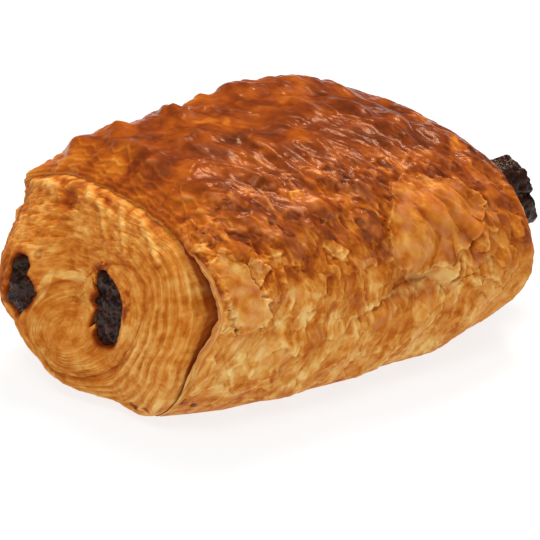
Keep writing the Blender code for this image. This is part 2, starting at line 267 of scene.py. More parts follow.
# Long raised ridges of the glazed top, each a line of (x mm, turn), with its height and half width in mm
RIDGE_LINES = (
    (((-27.5, 90.0), (-20.0, 88.0), (-14.4, 97.0), (-7.2, 90.0), (-2.1, 90.0), (2.0, 102.0), (4.5, 114.0)),
     0.40, 0.80),
    (((-13.0, 68.0), (-8.8, 73.0), (-2.9, 85.0)), 0.40, 0.80),
    (((9.0, 60.0), (13.4, 70.0), (14.5, 84.0)), 0.35, 0.80),
    (((-40.5, 66.0), (-36.3, 71.0), (-33.0, 78.0), (-30.0, 92.0)), 0.35, 0.80),
    (((18.0, 84.0), (22.0, 96.0), (21.0, 108.0)), 0.25, 0.70),
    (((-24.0, 104.0), (-19.0, 112.0), (-12.0, 118.0)), 0.25, 0.70),
)

# Raised blisters that catch the light, as (x mm, turn), with their height, half length and half width in mm
BLISTERS = (
    (-2.9, 87.0), (3.2, 91.0), (-15.6, 112.0), (-20.5, 114.0), (-27.9, 116.0), (-10.0, 121.0), (-3.4, 114.0),
    (-36.0, 113.0), (-32.2, 121.0), (11.9, 95.0), (15.6, 97.0), (10.4, 112.0), (0.2, 117.0), (4.4, 123.0),
    (6.5, 136.0), (-3.0, 130.0), (1.9, 133.0), (-34.6, 91.0), (-12.5, 104.0), (7.4, 104.0), (25.5, 104.0),
)
BLISTER_SIZE = (0.40, 2.3, 0.75)
BLISTER_LEAN = (28.0, 0.45)

# Patches as (x mm, turn, half sizes along the roll and round it in mm, toast, painted sheen)
CRUST_MARKS = (
    (0.2, 92.0, 4.5, 2.5, 0.10, 0.0), (-15.9, 96.0, 4.5, 2.0, 0.08, 0.1),
    (-36.0, 97.0, 3.0, 4.0, 0.12, 0.25), (-7.7, 110.0, 3.5, 3.0, 0.08, 0.0),
    (-30.4, 130.0, 3.5, 4.0, 0.10, 0.0), (9.0, 107.0, 6.5, 5.0, 0.10, 0.0),
    (18.5, 112.0, 6.5, 5.0, 0.12, 0.0), (-0.6, 126.0, 4.0, 3.0, 0.08, 0.0),
    (-17.9, 143.0, 4.0, 3.5, 0.10, 0.0), (-25.0, 143.0, 3.0, 3.0, 0.10, 0.0),
    (-0.6, 150.0, 3.2, 6.0, 0.22, 0.0), (-11.8, 150.0, 3.0, 3.0, 0.12, 0.0),
    (-10.8, 84.0, 4.0, 3.0, -0.12, 0.0), (7.6, 82.0, 5.0, 3.0, -0.10, 0.0),
    (-38.0, 84.0, 3.5, 3.5, -0.14, 0.0), (-15.4, 128.0, 3.5, 3.0, -0.12, 0.0),
    (22.5, 108.0, 4.0, 2.5, -0.10, 0.1), (37.0, 100.0, 4.0, 9.0, -0.10, 0.0),
    (-7.0, 136.0, 3.5, 2.5, -0.12, 0.0), (-37.5, 124.0, 3.0, 3.5, -0.12, 0.0),
    (36.0, 118.0, 3.5, 4.0, -0.16, 0.2), (-1.6, 152.5, 2.4, 2.6, -0.04, 0.7),
    (10.1, 147.0, 2.6, 2.6, -0.04, 0.6), (22.0, 146.0, 2.6, 3.0, -0.04, 0.6),
    (-17.2, 139.0, 1.6, 2.6, -0.06, 0.6), (-26.6, 138.0, 2.0, 3.0, -0.06, 0.5),
    (-21.0, 153.0, 2.2, 3.4, 0.06, 0.5), (-19.7, 165.0, 3.0, 4.0, 0.08, 0.0),
    (-7.2, 180.0, 3.0, 3.0, 0.12, 0.0), (4.4, 182.0, 3.4, 2.8, 0.10, 0.15),
    (14.9, 165.0, 3.4, 3.0, -0.14, 0.0), (-3.0, 180.0, 1.2, 5.0, -0.10, 0.0),
    (-21.8, 182.0, 6.0, 2.0, -0.10, 0.0), (-28.4, 193.0, 1.2, 1.6, -0.14, 0.0),
    (-30.7, 200.0, 1.6, 1.2, -0.14, 0.0), (-35.0, 200.0, 1.2, 1.8, -0.12, 0.0),
    (-16.4, 204.0, 1.6, 1.2, -0.14, 0.0), (42.0, 166.0, 2.6, 5.0, 0.12, 0.0),
    (35.1, 177.0, 3.0, 3.0, 0.08, 0.0),
)

# Grooves and folds: lines of (x mm, turn), depth and half width in mm, and how dark the painted shade in each
# is
GROOVE_LINES = (
    (((33.4, 160.0), (32.8, 165.0), (31.5, 172.0), (30.2, 179.0)), 0.5, 0.9, 0.20),
    (((9.0, 182.5), (11.9, 181.0), (16.5, 180.5), (21.0, 178.0), (26.7, 180.0)), 0.4, 0.5, 0.50),
    (((36.5, 118.0), (38.4, 140.0), (38.0, 160.0), (36.4, 176.0)), 0.45, 0.9, 0.10),
    (((40.0, 112.0), (41.4, 138.0), (41.0, 160.0)), 0.40, 0.8, 0.10),
    (((-29.0, 140.0), (-27.0, 156.0), (-27.6, 172.0)), 0.35, 0.8, 0.10),
)
BURNS = ((-42.1, 220.0, 1.5), (-38.3, 224.0, 1.3))

# The ragged lower edge of the wrap's upper sheet along the front, as x against height in mm, and the
# sheet's thickness
TEAR_X = (-26.0, -18.0, -10.4, -3.4, 1.6, 11.3, 17.3, 27.3, 34.0)
TEAR_Z = (18.0, 17.2, 18.6, 21.5, 22.2, 21.4, 21.0, 20.6, 17.3)
TEAR_RISE = 0.75

# How far the ridges lean along the roll as they run down the front: s in mm against dx/ds
LEAN_STOPS = (-60.0, -20.0, 12.0, 30.0, 44.0, 52.0, 90.0)
LEAN_SLOPES = (-0.15, 0.0, 0.20, 0.45, 0.35, 0.05, 0.0)

# The mean height in mm of all that the crust's relief adds, taken off so that the roll keeps the solid's form
RELIEF_MEAN = 0.45

# Where the egg wash ends on the front, as x in mm against the turn
GLAZE_X = (-44.0, -31.4, -23.5, -14.4, -4.2, 5.8, 16.5, 27.9, 44.0)
GLAZE_TURNS = (134.0, 138.0, 145.0, 151.0, 153.0, 148.0, 143.0, 139.0, 136.0)
GLAZE_BACK_TURN = 34.0
GLAZE_RAGGED = 3.2
GLAZE_EASE = 4.0

# Noises, as (seed, octaves, size in mm across the ridges and along them); at the ends, across and up
NOISES = {
    "glaze_edge": (77, 3, 5.0, 11.0),
    "wander": (90, 1, 9.0, 9.0),
    "broad": (101, 2, 8.0, 10.0),
    "medium": (115, 1, 3.4, 5.0),
    "grain": (117, 2, 0.9, 1.1),
    "blotch": (131, 3, 7.0, 8.0),
    "fleck": (137, 3, 2.6, 3.2),
    "ridge_line": (151, 1, 4.0, 4.0),
    "groove_line": (153, 1, 2.5, 2.5),
    "sheet_edge": (161, 3, 2.4, 2.4),
    "burn": (173, 1, 1.2, 1.2),
    "tear": (191, 3, 4.5, 1.0),
    "near_warp": (301, 1, 8.0, 8.0),
    "near_fine_warp": (302, 1, 2.4, 2.4),
    "near_mottle": (331, 3, 3.0, 2.0),
    "near_feather": (334, 3, 3.4, 1.1),
    "near_clouds": (344, 2, 8.0, 6.0),
    "near_specks": (347, 3, 1.8, 1.6),
    "near_rolls": (351, 1, 7.0, 7.0),
    "far_warp": (401, 1, 6.0, 6.0),
    "far_fine_warp": (402, 1, 2.2, 2.2),
    "far_mottle": (431, 3, 3.2, 2.2),
}

# Noises that make patches: the same, and the values at which a patch begins and is whole
PATCHY_NOISES = {
    "patchy": (95, 1, 11.0, 11.0, -0.2, 0.5),
    "blister": (113, 1, 2.2, 4.6, 0.0, 0.7),
    "pale": (141, 3, 2.4, 3.2, 0.30, 0.55),
    "pink": (157, 1, 3.4, 4.6, 0.20, 0.55),
    "sheet_shadow": (163, 1, 2.6, 2.6, -0.6, 0.3),
    "sheet_sheen": (167, 1, 3.0, 3.0, -0.2, 0.5),
    "scale": (181, 2, 4.2, 5.0, -0.14, 0.14),
    "near_clear": (337, 2, 3.6, 3.6, -0.35, 0.25),
    "near_fold_side": (339, 2, 2.6, 2.6, -0.5, 0.1),
    "near_smear": (361, 1, 1.2, 1.2, -0.5, 0.5),
}

# Noises that make long crests: the same as the first, and how sharp a crest is
CREST_NOISES = {
    "ridge": (104, 2, 6.5, 9.0, 4.5),
    "streak": (111, 1, 2.2, 8.0, 4.0),
    "fine": (112, 1, 1.1, 3.0, 4.0),
}

# Zones of the crust, from where each begins to where it is whole: s in mm, and z in mm for the foot
FRONT_ZONE = (28.0, 50.0)
BACK_ZONE = (-28.0, -48.0)
SHOULDER_ZONE = (14.0, 26.0, 42.0, 52.0)
TOP_BACK_ZONE = (6.0, -14.0)
FOOT_ZONE = (18.0, 6.0)
WANDER = 1.4
UPPER_LOSS = 0.7

# The crust's own relief in mm, and the share or the height that each loses at the foot, back or front
RISES = {
    "broad": 0.34, "ridge": 0.11, "streak": 0.06, "fine": 0.03, "medium": 0.17, "blister": 0.20,
    "scale": 0.08,
}
RISE_LOSSES = {"foot": 0.45, "top_back": 0.4, "ridge_front": 0.05, "medium_front": 0.5}
BLISTERS_EVERYWHERE = 0.3

# Torn sheets: how much less they show at the foot and under the glaze, and how much more on the front;
# where they lie loose, as (seed step, sizes in mm, start, whole), and how their edges drift
FOOT_SHEETS_LOSS = 0.4
GLAZED_SHEETS_LOSS = (0.45, 0.45)
FRONT_SHEETS_GAIN = 0.5
SMALL_SHEET = (0.26, 0.12)
UNGLAZED_LEVEL = 0.25
SHEET_LOOSE = (30, 3.0, 4.0, -0.1, 0.6)
SHEET_DRIFT = (60, 0.22, 3.0, 3.6)
SHEET_TONE_LOSS = 0.5

# Bands beside a sheet's edge, as (mm inside it, half width, strength, and what the strength loses)
# Painted highlight along the rim
SHEET_RIM_HIGHLIGHT = (0.25, 0.35, 0.16, 0.09)
# Painted shadow at the foot
SHEET_FOOT_SHADOW = (-0.40, 0.40, 0.10, 0.07)
# Painted shade just outside the edge
SHEET_EDGE_SHADE = (-0.18, 0.18, 0.24, 0.10)
# Painted sheen just inside the edge
SHEET_SHEEN = (0.50, 0.40, 0.14)
GLAZED_SHADE_LOSS = 0.85

# Drawn sheets: where their calm begins beside the edge and above the root, what it smooths away, their
# blotches and flecks, and their rim and shadow as (mm inside the edge, half width, strength)
DRAWN_CALM = (-1.0, 2.0)
DRAWN_ABOVE_ROOT = 4.0
DRAWN_SMOOTHS = 0.6
DRAWN_BLOTCH = 0.18
DRAWN_FLECK = 0.12
# Painted highlight along a drawn sheet's rim
DRAWN_RIM_HIGHLIGHT = (0.22, 0.3, 0.15)
DRAWN_HIGHLIGHT_GLAZED_LOSS = 0.7
# Painted shadow below a drawn sheet's edge
DRAWN_SHADOW = (-0.30, 0.30, 0.65)

# How brown the crust is: toast against s in mm, a paler near top and a browner far top
TOAST_S = (-60.0, -40.0, -20.0, 0.0, 20.0, 34.0, 44.0, 52.0, 62.0, 80.0)
TOAST_TONES = (0.44, 0.57, 0.73, 0.78, 0.78, 0.68, 0.52, 0.43, 0.37, 0.44)
PALE_NEAR_TOP = (((-30.0, -42.0), (44.0, 30.0)), 0.07)
BROWN_FAR_TOP = ((8.0, 28.0), (-30.0, -10.0, 36.0, 46.0), 0.05)
CALM_FAR_FRONT = (((24.0, 32.0), (20.0, 34.0)), 0.5)

# How much each noise changes the toast or the painted sheen, and what changes that on the front, under the
# glaze or at the foot
BLOTCH_TONE = (0.13, 0.04)
FLECK_TONE = (0.06, 0.03)
RIDGE_TONE = (0.02, 0.3)
STREAK_TONE = (0.03, 0.6)
PALE_TONE = 0.06
PALE_LENGTHENS = 0.625
SCALE_TONE = (0.13, 0.05)
# Painted pink sheen on the shoulder's scales and on the front
PINK_SHEEN = (0.22, 0.30)

# What marks do beside their own values
RIDGE_LINE_RAGGED = 1.3
# Painted sheen along the ridge lines' crests: how narrow, and how strong
RIDGE_LINE_SHEEN = (0.5, 0.10)
BLISTER_RAGGED = 0.4
# Painted highlight on each blister's crest: paler, with painted sheen
BLISTER_HIGHLIGHT = 0.10
BLISTER_SHEEN = 0.45
MARK_EDGE = (1.15, 0.5)
MARK_RAGGED = (0.55, 0.3)
# Painted sheen on the marks: how much, and over which flecks
MARK_SHEEN = (0.3, 0.7)
MARK_SHEEN_FLECKS = (-0.4, 0.3)
GROOVE_RAGGED = 0.6
GROOVE_SHADE = 0.6
BURN_TONE = 0.6
BURN_CORE = 0.3
BURN_RAGGED = 0.6

# The torn edge along the front: where it runs in x and s, how ragged it is, its edge and how far its step
# reaches up in mm, and its rim and shadow as (mm above the edge, half width, strength, share everywhere)
TEAR_STRETCH = (-29.0, -24.0, 32.0, 38.0)
TEAR_FRONT = (38.0, 44.0)
TEAR_RAGGED = 1.3
TEAR_EDGE = 0.15
TEAR_HEIGHT = 9.0
TEAR_RIM = (0.35, 0.4, -0.16, 0.4)
TEAR_SHADOW = (-0.3, 0.3, 0.40, 0.5)

# The hollow's painted shade and the ledge's painted shadow: where they lie in mm, but for the hollow's level
# in m, then their painted shade, toast and painted sheen
SUNKEN_LEVEL = 0.001
SUNKEN_SIZE = (0.8, 0.9)
SUNKEN_FRONT = (40.0, 46.0)
HOLLOW_SHADE = (0.28, 0.12, 0.12)
LEDGE_SHADOW = (3.6, 1.3)
LEDGE_STRETCH = (-26.0, -12.0, 28.0, 36.0)
LEDGE_TONES = (0.25, 0.10)
FOOT_LAYERS = 0.15

# The wrap's lip: its layers' count, drift and fineness, ragged noises as (seed step, count across, size
# round in mm, height in mm), and turns in degrees where it is creamy or tan
LIP_LAYERS = (5.0, 0.3, 3.0)
LIP_RAGGED = ((3, 2.6, 6.0, 0.55), (5, 6.0, 1.6, 0.14))
LIP_STRANDS = (0.42, 0.15, 1.6)
LIP_OPEN = (0.0008, 0.0030)
CREAMY_TURNS = (190.0, 206.0, 240.0, 262.0)
TAN_TURNS = (120.0, 140.0, 190.0, 205.0)

# The lip's toast, and how its mottle, grooves, wall and creamy foot change it; its painted shade and its
# painted sheen
LIP_TOAST = 0.42
# The grooves' and the wall's tones are painted shade
LIP_TONES = {"mottle": 0.12, "groove": 0.26, "wall": 0.30, "creamy": -0.16}
LIP_GROOVES_MEAN = 0.4
LIP_PAINTED_SHADE = {"groove": 0.22, "wall": 0.9}
LIP_WALL_SHADE = (0.05, 0.6)
LIP_SHEEN = (-0.5, 0.2, 0.8)
LIP_MOTTLE = (8, 3.0, 4.0)
LIP_START = 0.12
LIP_LAYER_COUNT = 4.0

# The torn steps of the near edge: how they waver as (seed, size in mm, depth, and what is added to the depth
# for each mm from the rim), how soft each is, and its pale rim and shadow as (mm past it, half width,
# strength); then how the edge itself wavers, and how much of that shows everywhere and at the steps
STEP_WAVES = ((261, 4.5, 0.3, 0.22), (271, 1.3, 0.25, 0.0))
STEP_EDGE = 0.12
STEP_RIM = (0.25, 0.25, 0.12)
STEP_SHADOW = (-0.2, 0.18, 0.25)
EDGE_WAVES = ((251, 5.0, 0.6), (253, 1.7, 0.35))
EDGE_RAGGED = (0.40, 0.8)
RIM_RELIEF_FADE = 1.6

# The near end's inner roll, which holds the nose lobe and the front stick: its middle and outline in mm
LOBE_MIDDLE = (0.6, 15.4)
INNER_ROLL = (
    (11.6, 16.4), (10.8, 20.4), (8.2, 23.6), (4.6, 25.4), (0.4, 26.4), (-3.4, 30.4), (-9.0, 33.6),
    (-15.0, 34.2), (-19.0, 31.8), (-20.8, 27.2), (-19.6, 21.8), (-16.4, 16.4), (-12.0, 11.2),
    (-7.0, 8.0), (-0.6, 6.6), (5.2, 7.2), (10.0, 10.4),
)
INNER_ROLL_EDGE = (1.03, 0.97)
INNER_LAYERS = 13.0
OUTER_LAYERS = 9.0
OUTER_ROLLS = 6.5
WALL_ROLL = 1.9
LAYER_NOISES = ((1.0, 17.0, 1.0), (2.3, 12.0, 0.8), (5.1, 8.0, 0.55))
LAYER_SHARPNESS = 2.6

# How the near end's layers wander, roll and fade
NEAR_WARPS = (0.40, 0.12)
NEAR_LAYER_SEEDS = (311, 321)
NEAR_FINEST = 6.0
OUTERMOST = 1.2
FOLD_HALF = 0.6
ROLL_WARP = 0.55
ROLL_UNEVEN = (0.65, 0.5)
UPPER_ROLLS_LOSS = 0.80
UPPER_LINES_LOSS = (0.85, 0.65, 0.45)
CORE_LINES_LOSS = 0.6
CLEAR_SHARES = (0.62, 0.38)
FEATHER_WARP = 1.7
FEATHER_BEND = 0.01

# The near end's folds, the pockets of its sticks with their swollen rims and smears, and the painted shade in
# its depths
UPPER_FOLD_LOSS = (0.5, 0.6)
FOLD_LINE_WARP = (0.5, 0.15)
POCKET_EDGE = (0.3, -0.3)
SWOLLEN_RIM = (1.4, 1.0)
SMEAR_HALF = 0.6
SMEAR_GLAZE = 0.35
# Painted sheen on the near end's upper area: where it begins, where it is whole, and how strong
UPPER_SHEEN = (0.2, 0.8, 0.20)
LINES_MEAN = 0.30
ROLLS_MEAN = 0.3
INNER_ROLL_ROUND = (1.0, 0.75)
# Where painted shade falls behind the rim and in the sunk gap
BEHIND_RIM = (-0.6, 0.8)
SUNK_SHADE = (0.35, 1.0)

# The far end's coils: their layers, rolls as (seed, count, warp, reach in mm, sharpness), and how each of
# them stands in mm and changes the toast
FAR_WARPS = (0.55, 0.22)
FAR_LAYERS = (411, 17.0, 3.0)
FAR_ROLLS = (451, 8.0, 0.35, 30.0, 2.4)
# Where the pockets' painted shade begins, painted shade in the sunk gap, and how dark the pockets' painted
# shade and the smear's own colour are
FAR_POCKET_EDGE = (0.5, -0.4)
FAR_SUNK_SHADE = (0.05, 0.6)
FAR_RISES = (0.45, 0.45, 0.2, -2.0)
FAR_TOAST = 0.52
FAR_TONES = (-0.17, -0.10, 0.10, 0.3)
FAR_SHADE_AND_SMEAR = (0.7, 0.3)

# Areas of the near end, from where each begins to where it is whole: y in mm, z in mm; for the inner roll's
# core it is the share of the way out to that roll's edge
UPPER_AREA = ((-26.0, -12.0), (22.0, 32.0))
LOW_AREA = ((-9.0, -17.0), (20.0, 11.0))
PALE_AREA = ((-12.0, -22.0), (26.0, 14.0))
CORE_AREA = (0.62, 0.28)

# Ovals on the near end in mm, as (middle y and z, half sizes, lean in degrees); a mark also says at which
# share of its oval's dome it begins and where it is whole
NEAR_MARKS = {
    "yellow": ((3.4, 26.8, 5.6, 1.5, -6.0), (0.05, 0.45)),
    "cream": ((9.4, 22.6, 1.3, 6.6, 16.0), (0.05, 0.5)),
    "dimple": ((12.8, 40.2, 4.6, 2.4, 10.0), (0.0, 1.0)),
    "notch": ((31.0, 34.0, 5.0, 2.6, -38.0), (0.0, 0.8)),
    "brown": ((20.5, 22.0, 3.6, 8.5, 0.0), (0.0, 0.5)),
    "hole": ((12.0, 29.6, 0.9, 1.3, -20.0), (0.0, 0.5)),
}
LIGHT_BUMP = (7.0, 41.4, 2.8, 1.8, 10.0)
RED_SPOT = (27.0, 32.4, 2.6, 3.4, 0.0)
SMEARS = ((-5.0, 31.2, 3.6, 1.8, -20.0), (-15.6, 27.0, 1.6, 4.6, 0.0), (17.6, 22.4, 2.2, 6.0, 0.0))
SMEAR_EDGE = (0.0, 0.5)
FOOT_BURNS = ((-17.0, 4.0, 1.6, 1.0, 0.0), (-20.2, 4.2, 1.2, 0.9, 0.0))
FOOT_BURN_EDGE = (0.0, 0.6)

# Folds of the layers under the near rim: lines of (y, z) in mm, height and half width in mm, and the
# painted shade on their sides; then where and how wide such a side is
FOLD_LINES = (
    (((17.8, 42.4), (14.6, 44.4), (11.6, 45.6), (8.8, 45.6), (5.8, 44.0), (3.6, 43.6), (1.4, 43.6)),
     0.60, 0.55, 0.55),
    (((15.0, 42.0), (12.8, 43.8), (10.0, 43.8), (8.4, 42.8), (5.0, 42.0), (1.2, 41.6), (-2.0, 41.2)),
     0.55, 0.55, 0.50),
    (((33.0, 35.2), (31.2, 37.0), (28.0, 38.6), (21.8, 40.2), (17.6, 40.6), (14.6, 39.6)),
     0.70, 0.70, 0.60),
    (((3.6, 42.4), (0.6, 41.0), (-2.0, 38.8), (-4.4, 36.6)), 0.40, 0.60, 0.30),
    (((-3.2, 43.0), (-5.6, 41.4), (-8.4, 39.0), (-11.0, 36.0)), 0.40, 0.60, 0.30),
    (((-6.8, 43.2), (-10.4, 42.4), (-14.0, 41.0), (-17.2, 39.2), (-20.6, 36.8)), 0.40, 0.50, 0.45),
)
FOLD_SIDE = (1.0, 0.40)

# How high each feature of the near end stands in mm
NEAR_RISES = {
    "lines": 0.50, "rolls": 0.62, "inner_roll": 0.45, "feather": 0.28, "mottle": 0.14, "core": 0.30,
    "fold": -0.50, "pocket": -1.7, "swollen": 0.35, "dimple": -1.1, "bump": 0.9, "yellow": -0.30,
    "cream": -0.4, "hole": -0.8, "notch": -1.3,
}

# The near end's own toast, and how each feature changes it
NEAR_TOAST = 0.42
NEAR_TONES = {
    "lines": -0.19, "mottle": 0.07, "rolls": -0.15, "clouds": 0.10, "specks": 0.06, "feather": -0.08,
    "fold": 0.12, "yellow": -0.24, "yellow_mottle": -0.1, "cream": -0.20, "bump": -0.08, "dimple": 0.14,
    "low": 0.03, "low_rolls": -0.12, "crests": -0.10, "sides": 0.16, "red": 0.26, "brown": 0.26,
    "smear": 0.30, "pale": -0.06, "burn": 0.35,
}

# How dark the painted shade in each feature's depth is, and how dark the smear's own colour is
NEAR_SHADE_AND_SMEAR = {
    "fold": 0.35, "shaded": 1.2, "dimple": 0.40, "pocket": 0.7, "smear": 0.35, "hole": 0.35, "sides": 0.5,
    "notch": 0.25,
}

# The sticks' grid: its columns, rows as (first share, last share, count) along the stick, a cap's rings, the
# share up to which the near end is ragged, and how the caps lie and curve in m
STICK_COLUMNS = 150
STICK_SHARES = ((0.0, 0.10, 25), (0.10, 0.86, 11), (0.86, 1.0, 64))
CAP_RINGS = 40
ROUGH_SHARE = 0.10
NEAR_CAP_SINK = 0.0004
NEAR_CAP_DISH = 0.0013
FAR_CAP_OUT = 0.0002
FAR_CAP_BULGE = 0.0004

# How rough and broken the chocolate is, in mm: lumps, grit, where the far block is smoother, and the step
# between its two chunks
LUMP_SIZE, LUMP_RISE = 3.6, 0.85
GRIT_SIZE, GRIT_RISE = 1.7, 0.28
SMOOTHER_BLOCK = ((46.0, 50.0), 0.6)
CHUNK_STEP = (25.0, 0.9, 1.2)
CHUNK_STEP_X = (48.0, 52.0)
CHUNK_STEP_RAGGED = 0.4

# Finishes: the crust's tones by toast, the colour of its painted shade and chocolate smears, and of its
# painted sheen
CRUST_TONES = (
    (0.00, (0.840, 0.600, 0.220)),
    (0.20, (0.755, 0.430, 0.120)),
    (0.38, (0.620, 0.240, 0.036)),
    (0.52, (0.480, 0.130, 0.008)),
    (0.66, (0.340, 0.070, 0.0045)),
    (0.82, (0.190, 0.032, 0.0040)),
    (1.00, (0.080, 0.016, 0.0050)),
)
SHADE_AND_SMEAR_COLOUR = (0.260, 0.024, 0.001, 1.0)
SHEEN_COLOUR = (0.620, 0.270, 0.135, 1.0)
SHADE_AND_SMEAR_COVER = 0.75
SHEEN_COVER = 0.50

# The crust's noises: grain and specks as (size, detail, roughness) and thin and hair layers as (spacing,
# reach), how each changes the tone, and its share of the bumps
CRUST_GRAIN = (0.0008, 3.0, 0.5)
CRUST_SPECKS = (0.0029, 5.0, 0.70)
THIN_LAYERS = (0.40, 0.004)
HAIR_LAYERS = (0.16, 0.002)
GRAIN_TONE = 0.10
SPECKS_TONE = 0.17
HAIR_STREAKS = 0.6
BUMP_SHARES = (0.5, 0.3, 0.2)
BUMP_HEIGHT = 0.00022
PLAIN_BUMP = 0.12

# Its shine: dull dough, how much smoother the glaze is, and the warm tint of what it reflects
DULL = 0.76
GLAZE_SMOOTHS = 0.46
GRAIN_ROUGHENS = 0.10
CRUST_SPECULAR = 0.32
CRUST_SPECULAR_TINT = (1.0, 0.58, 0.30, 1.0)

# How much of the streaks each crust shows, and the chocolate's tones, noises, bumps and shine
CRUST_STREAKS = 0.08
COIL_STREAKS = 0.24
CHOCOLATE_TONES = (
    (0.20, (0.007, 0.0026, 0.0016)),
    (0.50, (0.019, 0.0066, 0.0036)),
    (0.80, (0.055, 0.0185, 0.0095)),
)
CHOCOLATE_GRAIN = (0.0016, 4.0, 0.55)
CHOCOLATE_BITS = (0.0005, 2.0, 0.5)
GRIT_TONE = 0.12
CHOCOLATE_BUMP_SHARES = (0.8, 0.2)
CHOCOLATE_BUMP = 0.00040
CHOCOLATE_ROUGH = 0.30
CHOCOLATE_UNEVEN = 0.9
CHOCOLATE_SPECULAR = 0.20

# Camera: its heading and height in degrees, its distance and target in metres, its sensor and lens in mm
VIEW_HEADING = 36.0
VIEW_HEIGHT = 25.0
VIEW_DISTANCE = 0.80
VIEW_TARGET = (0.001666, 0.006452, 0.013293)
SENSOR = 36.0
LENS = 240.0

# Light: the room's own, what of it shows in reflections, how far the floor glows, and the lamps as (name,
# place, size, power, colour, and whether it shows in reflections)
ROOM_LIGHT = 0.70
ROOM_REFLECTION = 0.02
FLOOR_GLOW = 0.80
LIGHTS = (
    ("window", (0.30, 0.30, 0.80), 0.36, 4.7, (1.0, 1.0, 1.0), False),
    ("glint", (0.42, 0.26, 0.74), 0.20, 3.2, (1.0, 0.80, 0.62), True),
    ("front_card", (-0.40, -0.30, 0.80), 0.30, 2.4, (1.0, 1.0, 1.0), True),
)

# Noise: the size of its tables, what stretches it to about -1 to 1, and how far apart its octaves are drawn
LATTICE = 1024
NOISE_STRETCH = 1.6
OCTAVE_SHIFT = 17.3
ORDER = np.random.default_rng(5).permutation(LATTICE)


def ease(start, end, value):
    """A smooth 0 to 1 as value goes from start to end."""
    share = np.clip((value - start) / (end - start), 0.0, 1.0)
    return share * share * (3.0 - 2.0 * share)


def between(limits, value):
    """A smooth 0 to 1 and back to 0, as value goes through the four limits."""
    start, full, ebb, stop = limits
    return ease(start, full, value) * ease(stop, ebb, value)


def area(limits, first, second):
    """1 where both values are past their limits, easing to 0."""
    return ease(*limits[0], first) * ease(*limits[1], second)


def bell(value, middle, half):
    """1 at the middle, falling away to both sides."""
    return np.exp(-((value - middle) / half) ** 2)


def signed_power(value, power):
    return np.sign(value) * np.abs(value) ** power


def angle_between(turn, other):
    return np.angle(np.exp(1j * (turn - other)))


def dome(across, up, half_across, half_up):
    """A round-topped mound, 1 at its middle and 0 outside its oval."""
    reach = (across / half_across) ** 2 + (up / half_up) ** 2
    return np.clip(1.0 - reach, 0.0, None) ** 1.5


def slopes_for(dimensions):
    """A table of unit directions, one for each lattice number."""
    table = np.random.default_rng(dimensions).normal(size=(LATTICE, dimensions))
    return table / np.linalg.norm(table, axis=1, keepdims=True)


SLOPES = {2: slopes_for(2), 3: slopes_for(3)}


def noise(seed, *place):
    """Smooth gradient noise, about -1 to 1, one cell a unit, in two or three dimensions."""
    table = SLOPES[len(place)]
    low = [np.floor(value).astype(int) for value in place]
    inside = [value - floor for value, floor in zip(place, low)]
    fades = [value ** 3 * (value * (value * 6.0 - 15.0) + 10.0) for value in inside]
    total = 0.0
    for steps in itertools.product((0, 1), repeat=len(place)):
        number = seed
        weight = 1.0
        for floor, fade, step in zip(low, fades, steps):
            number = ORDER[(number + floor + step) % LATTICE]
            weight = weight * (fade if step else 1.0 - fade)
        slope = 0.0
        for axis, step in enumerate(steps):
            slope = slope + table[number, axis] * (inside[axis] - step)
        total = total + weight * slope
    return total * NOISE_STRETCH


def fractal(seed, octaves, *place):
    """Noise with finer and fainter noise on it."""
    total = 0.0
    for octave in range(octaves):
        finer = [value * 2.0 ** octave + OCTAVE_SHIFT * octave for value in place]
        total = total + noise(seed + octave, *finer) * 0.5 ** octave
    return total


def octaves_at(row, across, along):
    seed, octaves, wide, long = row
    return fractal(seed, octaves, across / wide, along / long)


def texture(name, across, along):
    """One of the named noises, in mm."""
    return octaves_at(NOISES[name], across, along)


def patches(name, across, along):
    """Patches of one of the named noises, 0 to 1."""
    *row, start, whole = PATCHY_NOISES[name]
    return ease(start, whole, octaves_at(row, across, along))


def crests(name, across, along):
    """Long crests along one of the named noises, 0 to 1."""
    *row, sharp = CREST_NOISES[name]
    return bell(octaves_at(row, across, along) * sharp, 0.0, 1.0)


def wavering(seed, size, along):
    """Noise along one line."""
    return noise(seed, along / size, 0.0 * along)


def roll_share(x):
    return (x - NEAR_RIM) / (FAR_RIM - NEAR_RIM)


def crown(x):
    near = np.clip((NEAR_CROWN_START - x) / (NEAR_CROWN_START - NEAR_RIM), 0.0, None)
    far = np.clip((x - FAR_CROWN_START) / (FAR_RIM - FAR_CROWN_START), 0.0, None)
    return CROWN - NEAR_CROWN_DROP * near ** NEAR_CROWN_POWER - FAR_CROWN_DROP * far ** FAR_CROWN_POWER


def half_width(x):
    far = np.clip((x - FAR_CROWN_START) / (FAR_RIM - FAR_CROWN_START), 0.0, None)
    return HALF_WIDTH - FAR_SIDE_DROP * far ** FAR_SIDE_POWER


def section(x, turn):
    """The roll's outline at x, round the turn."""
    share = roll_share(x)
    across, up = np.cos(turn), np.sin(turn)
    widest = np.interp(share, SHARES, WIDEST_LEVELS)
    lower = np.interp(share, SHARES, LOWER_POWERS)
    back = np.interp(share, SHARES, BACK_SHOULDER_POWERS)
    shoulder = np.where(across > 0.0, back, FRONT_SHOULDER_POWER)
    power = np.where(up > 0.0, shoulder, lower)
    reach = np.where(up > 0.0, crown(x) - widest, widest + UNDERSIDE_DEPTH)
    y = half_width(x) * signed_power(across, 2.0 / power)
    z = widest + reach * signed_power(up, 2.0 / power)
    return y, np.maximum(z, 0.0)


def rim_shift(turn, end):
    """How far a rim strays along X: the near one sweeps out at its foot, the far one tucks in."""
    if end is NEAR_END:
        droop = between(np.radians(NEAR_DROOP_TURNS), np.mod(turn, 2.0 * np.pi))
        return -NEAR_RIM_SKEW * np.cos(turn) - NEAR_RIM_DROOP * droop
    return -FAR_RIM_TUCK * ease(0.1, -1.0, np.sin(turn))


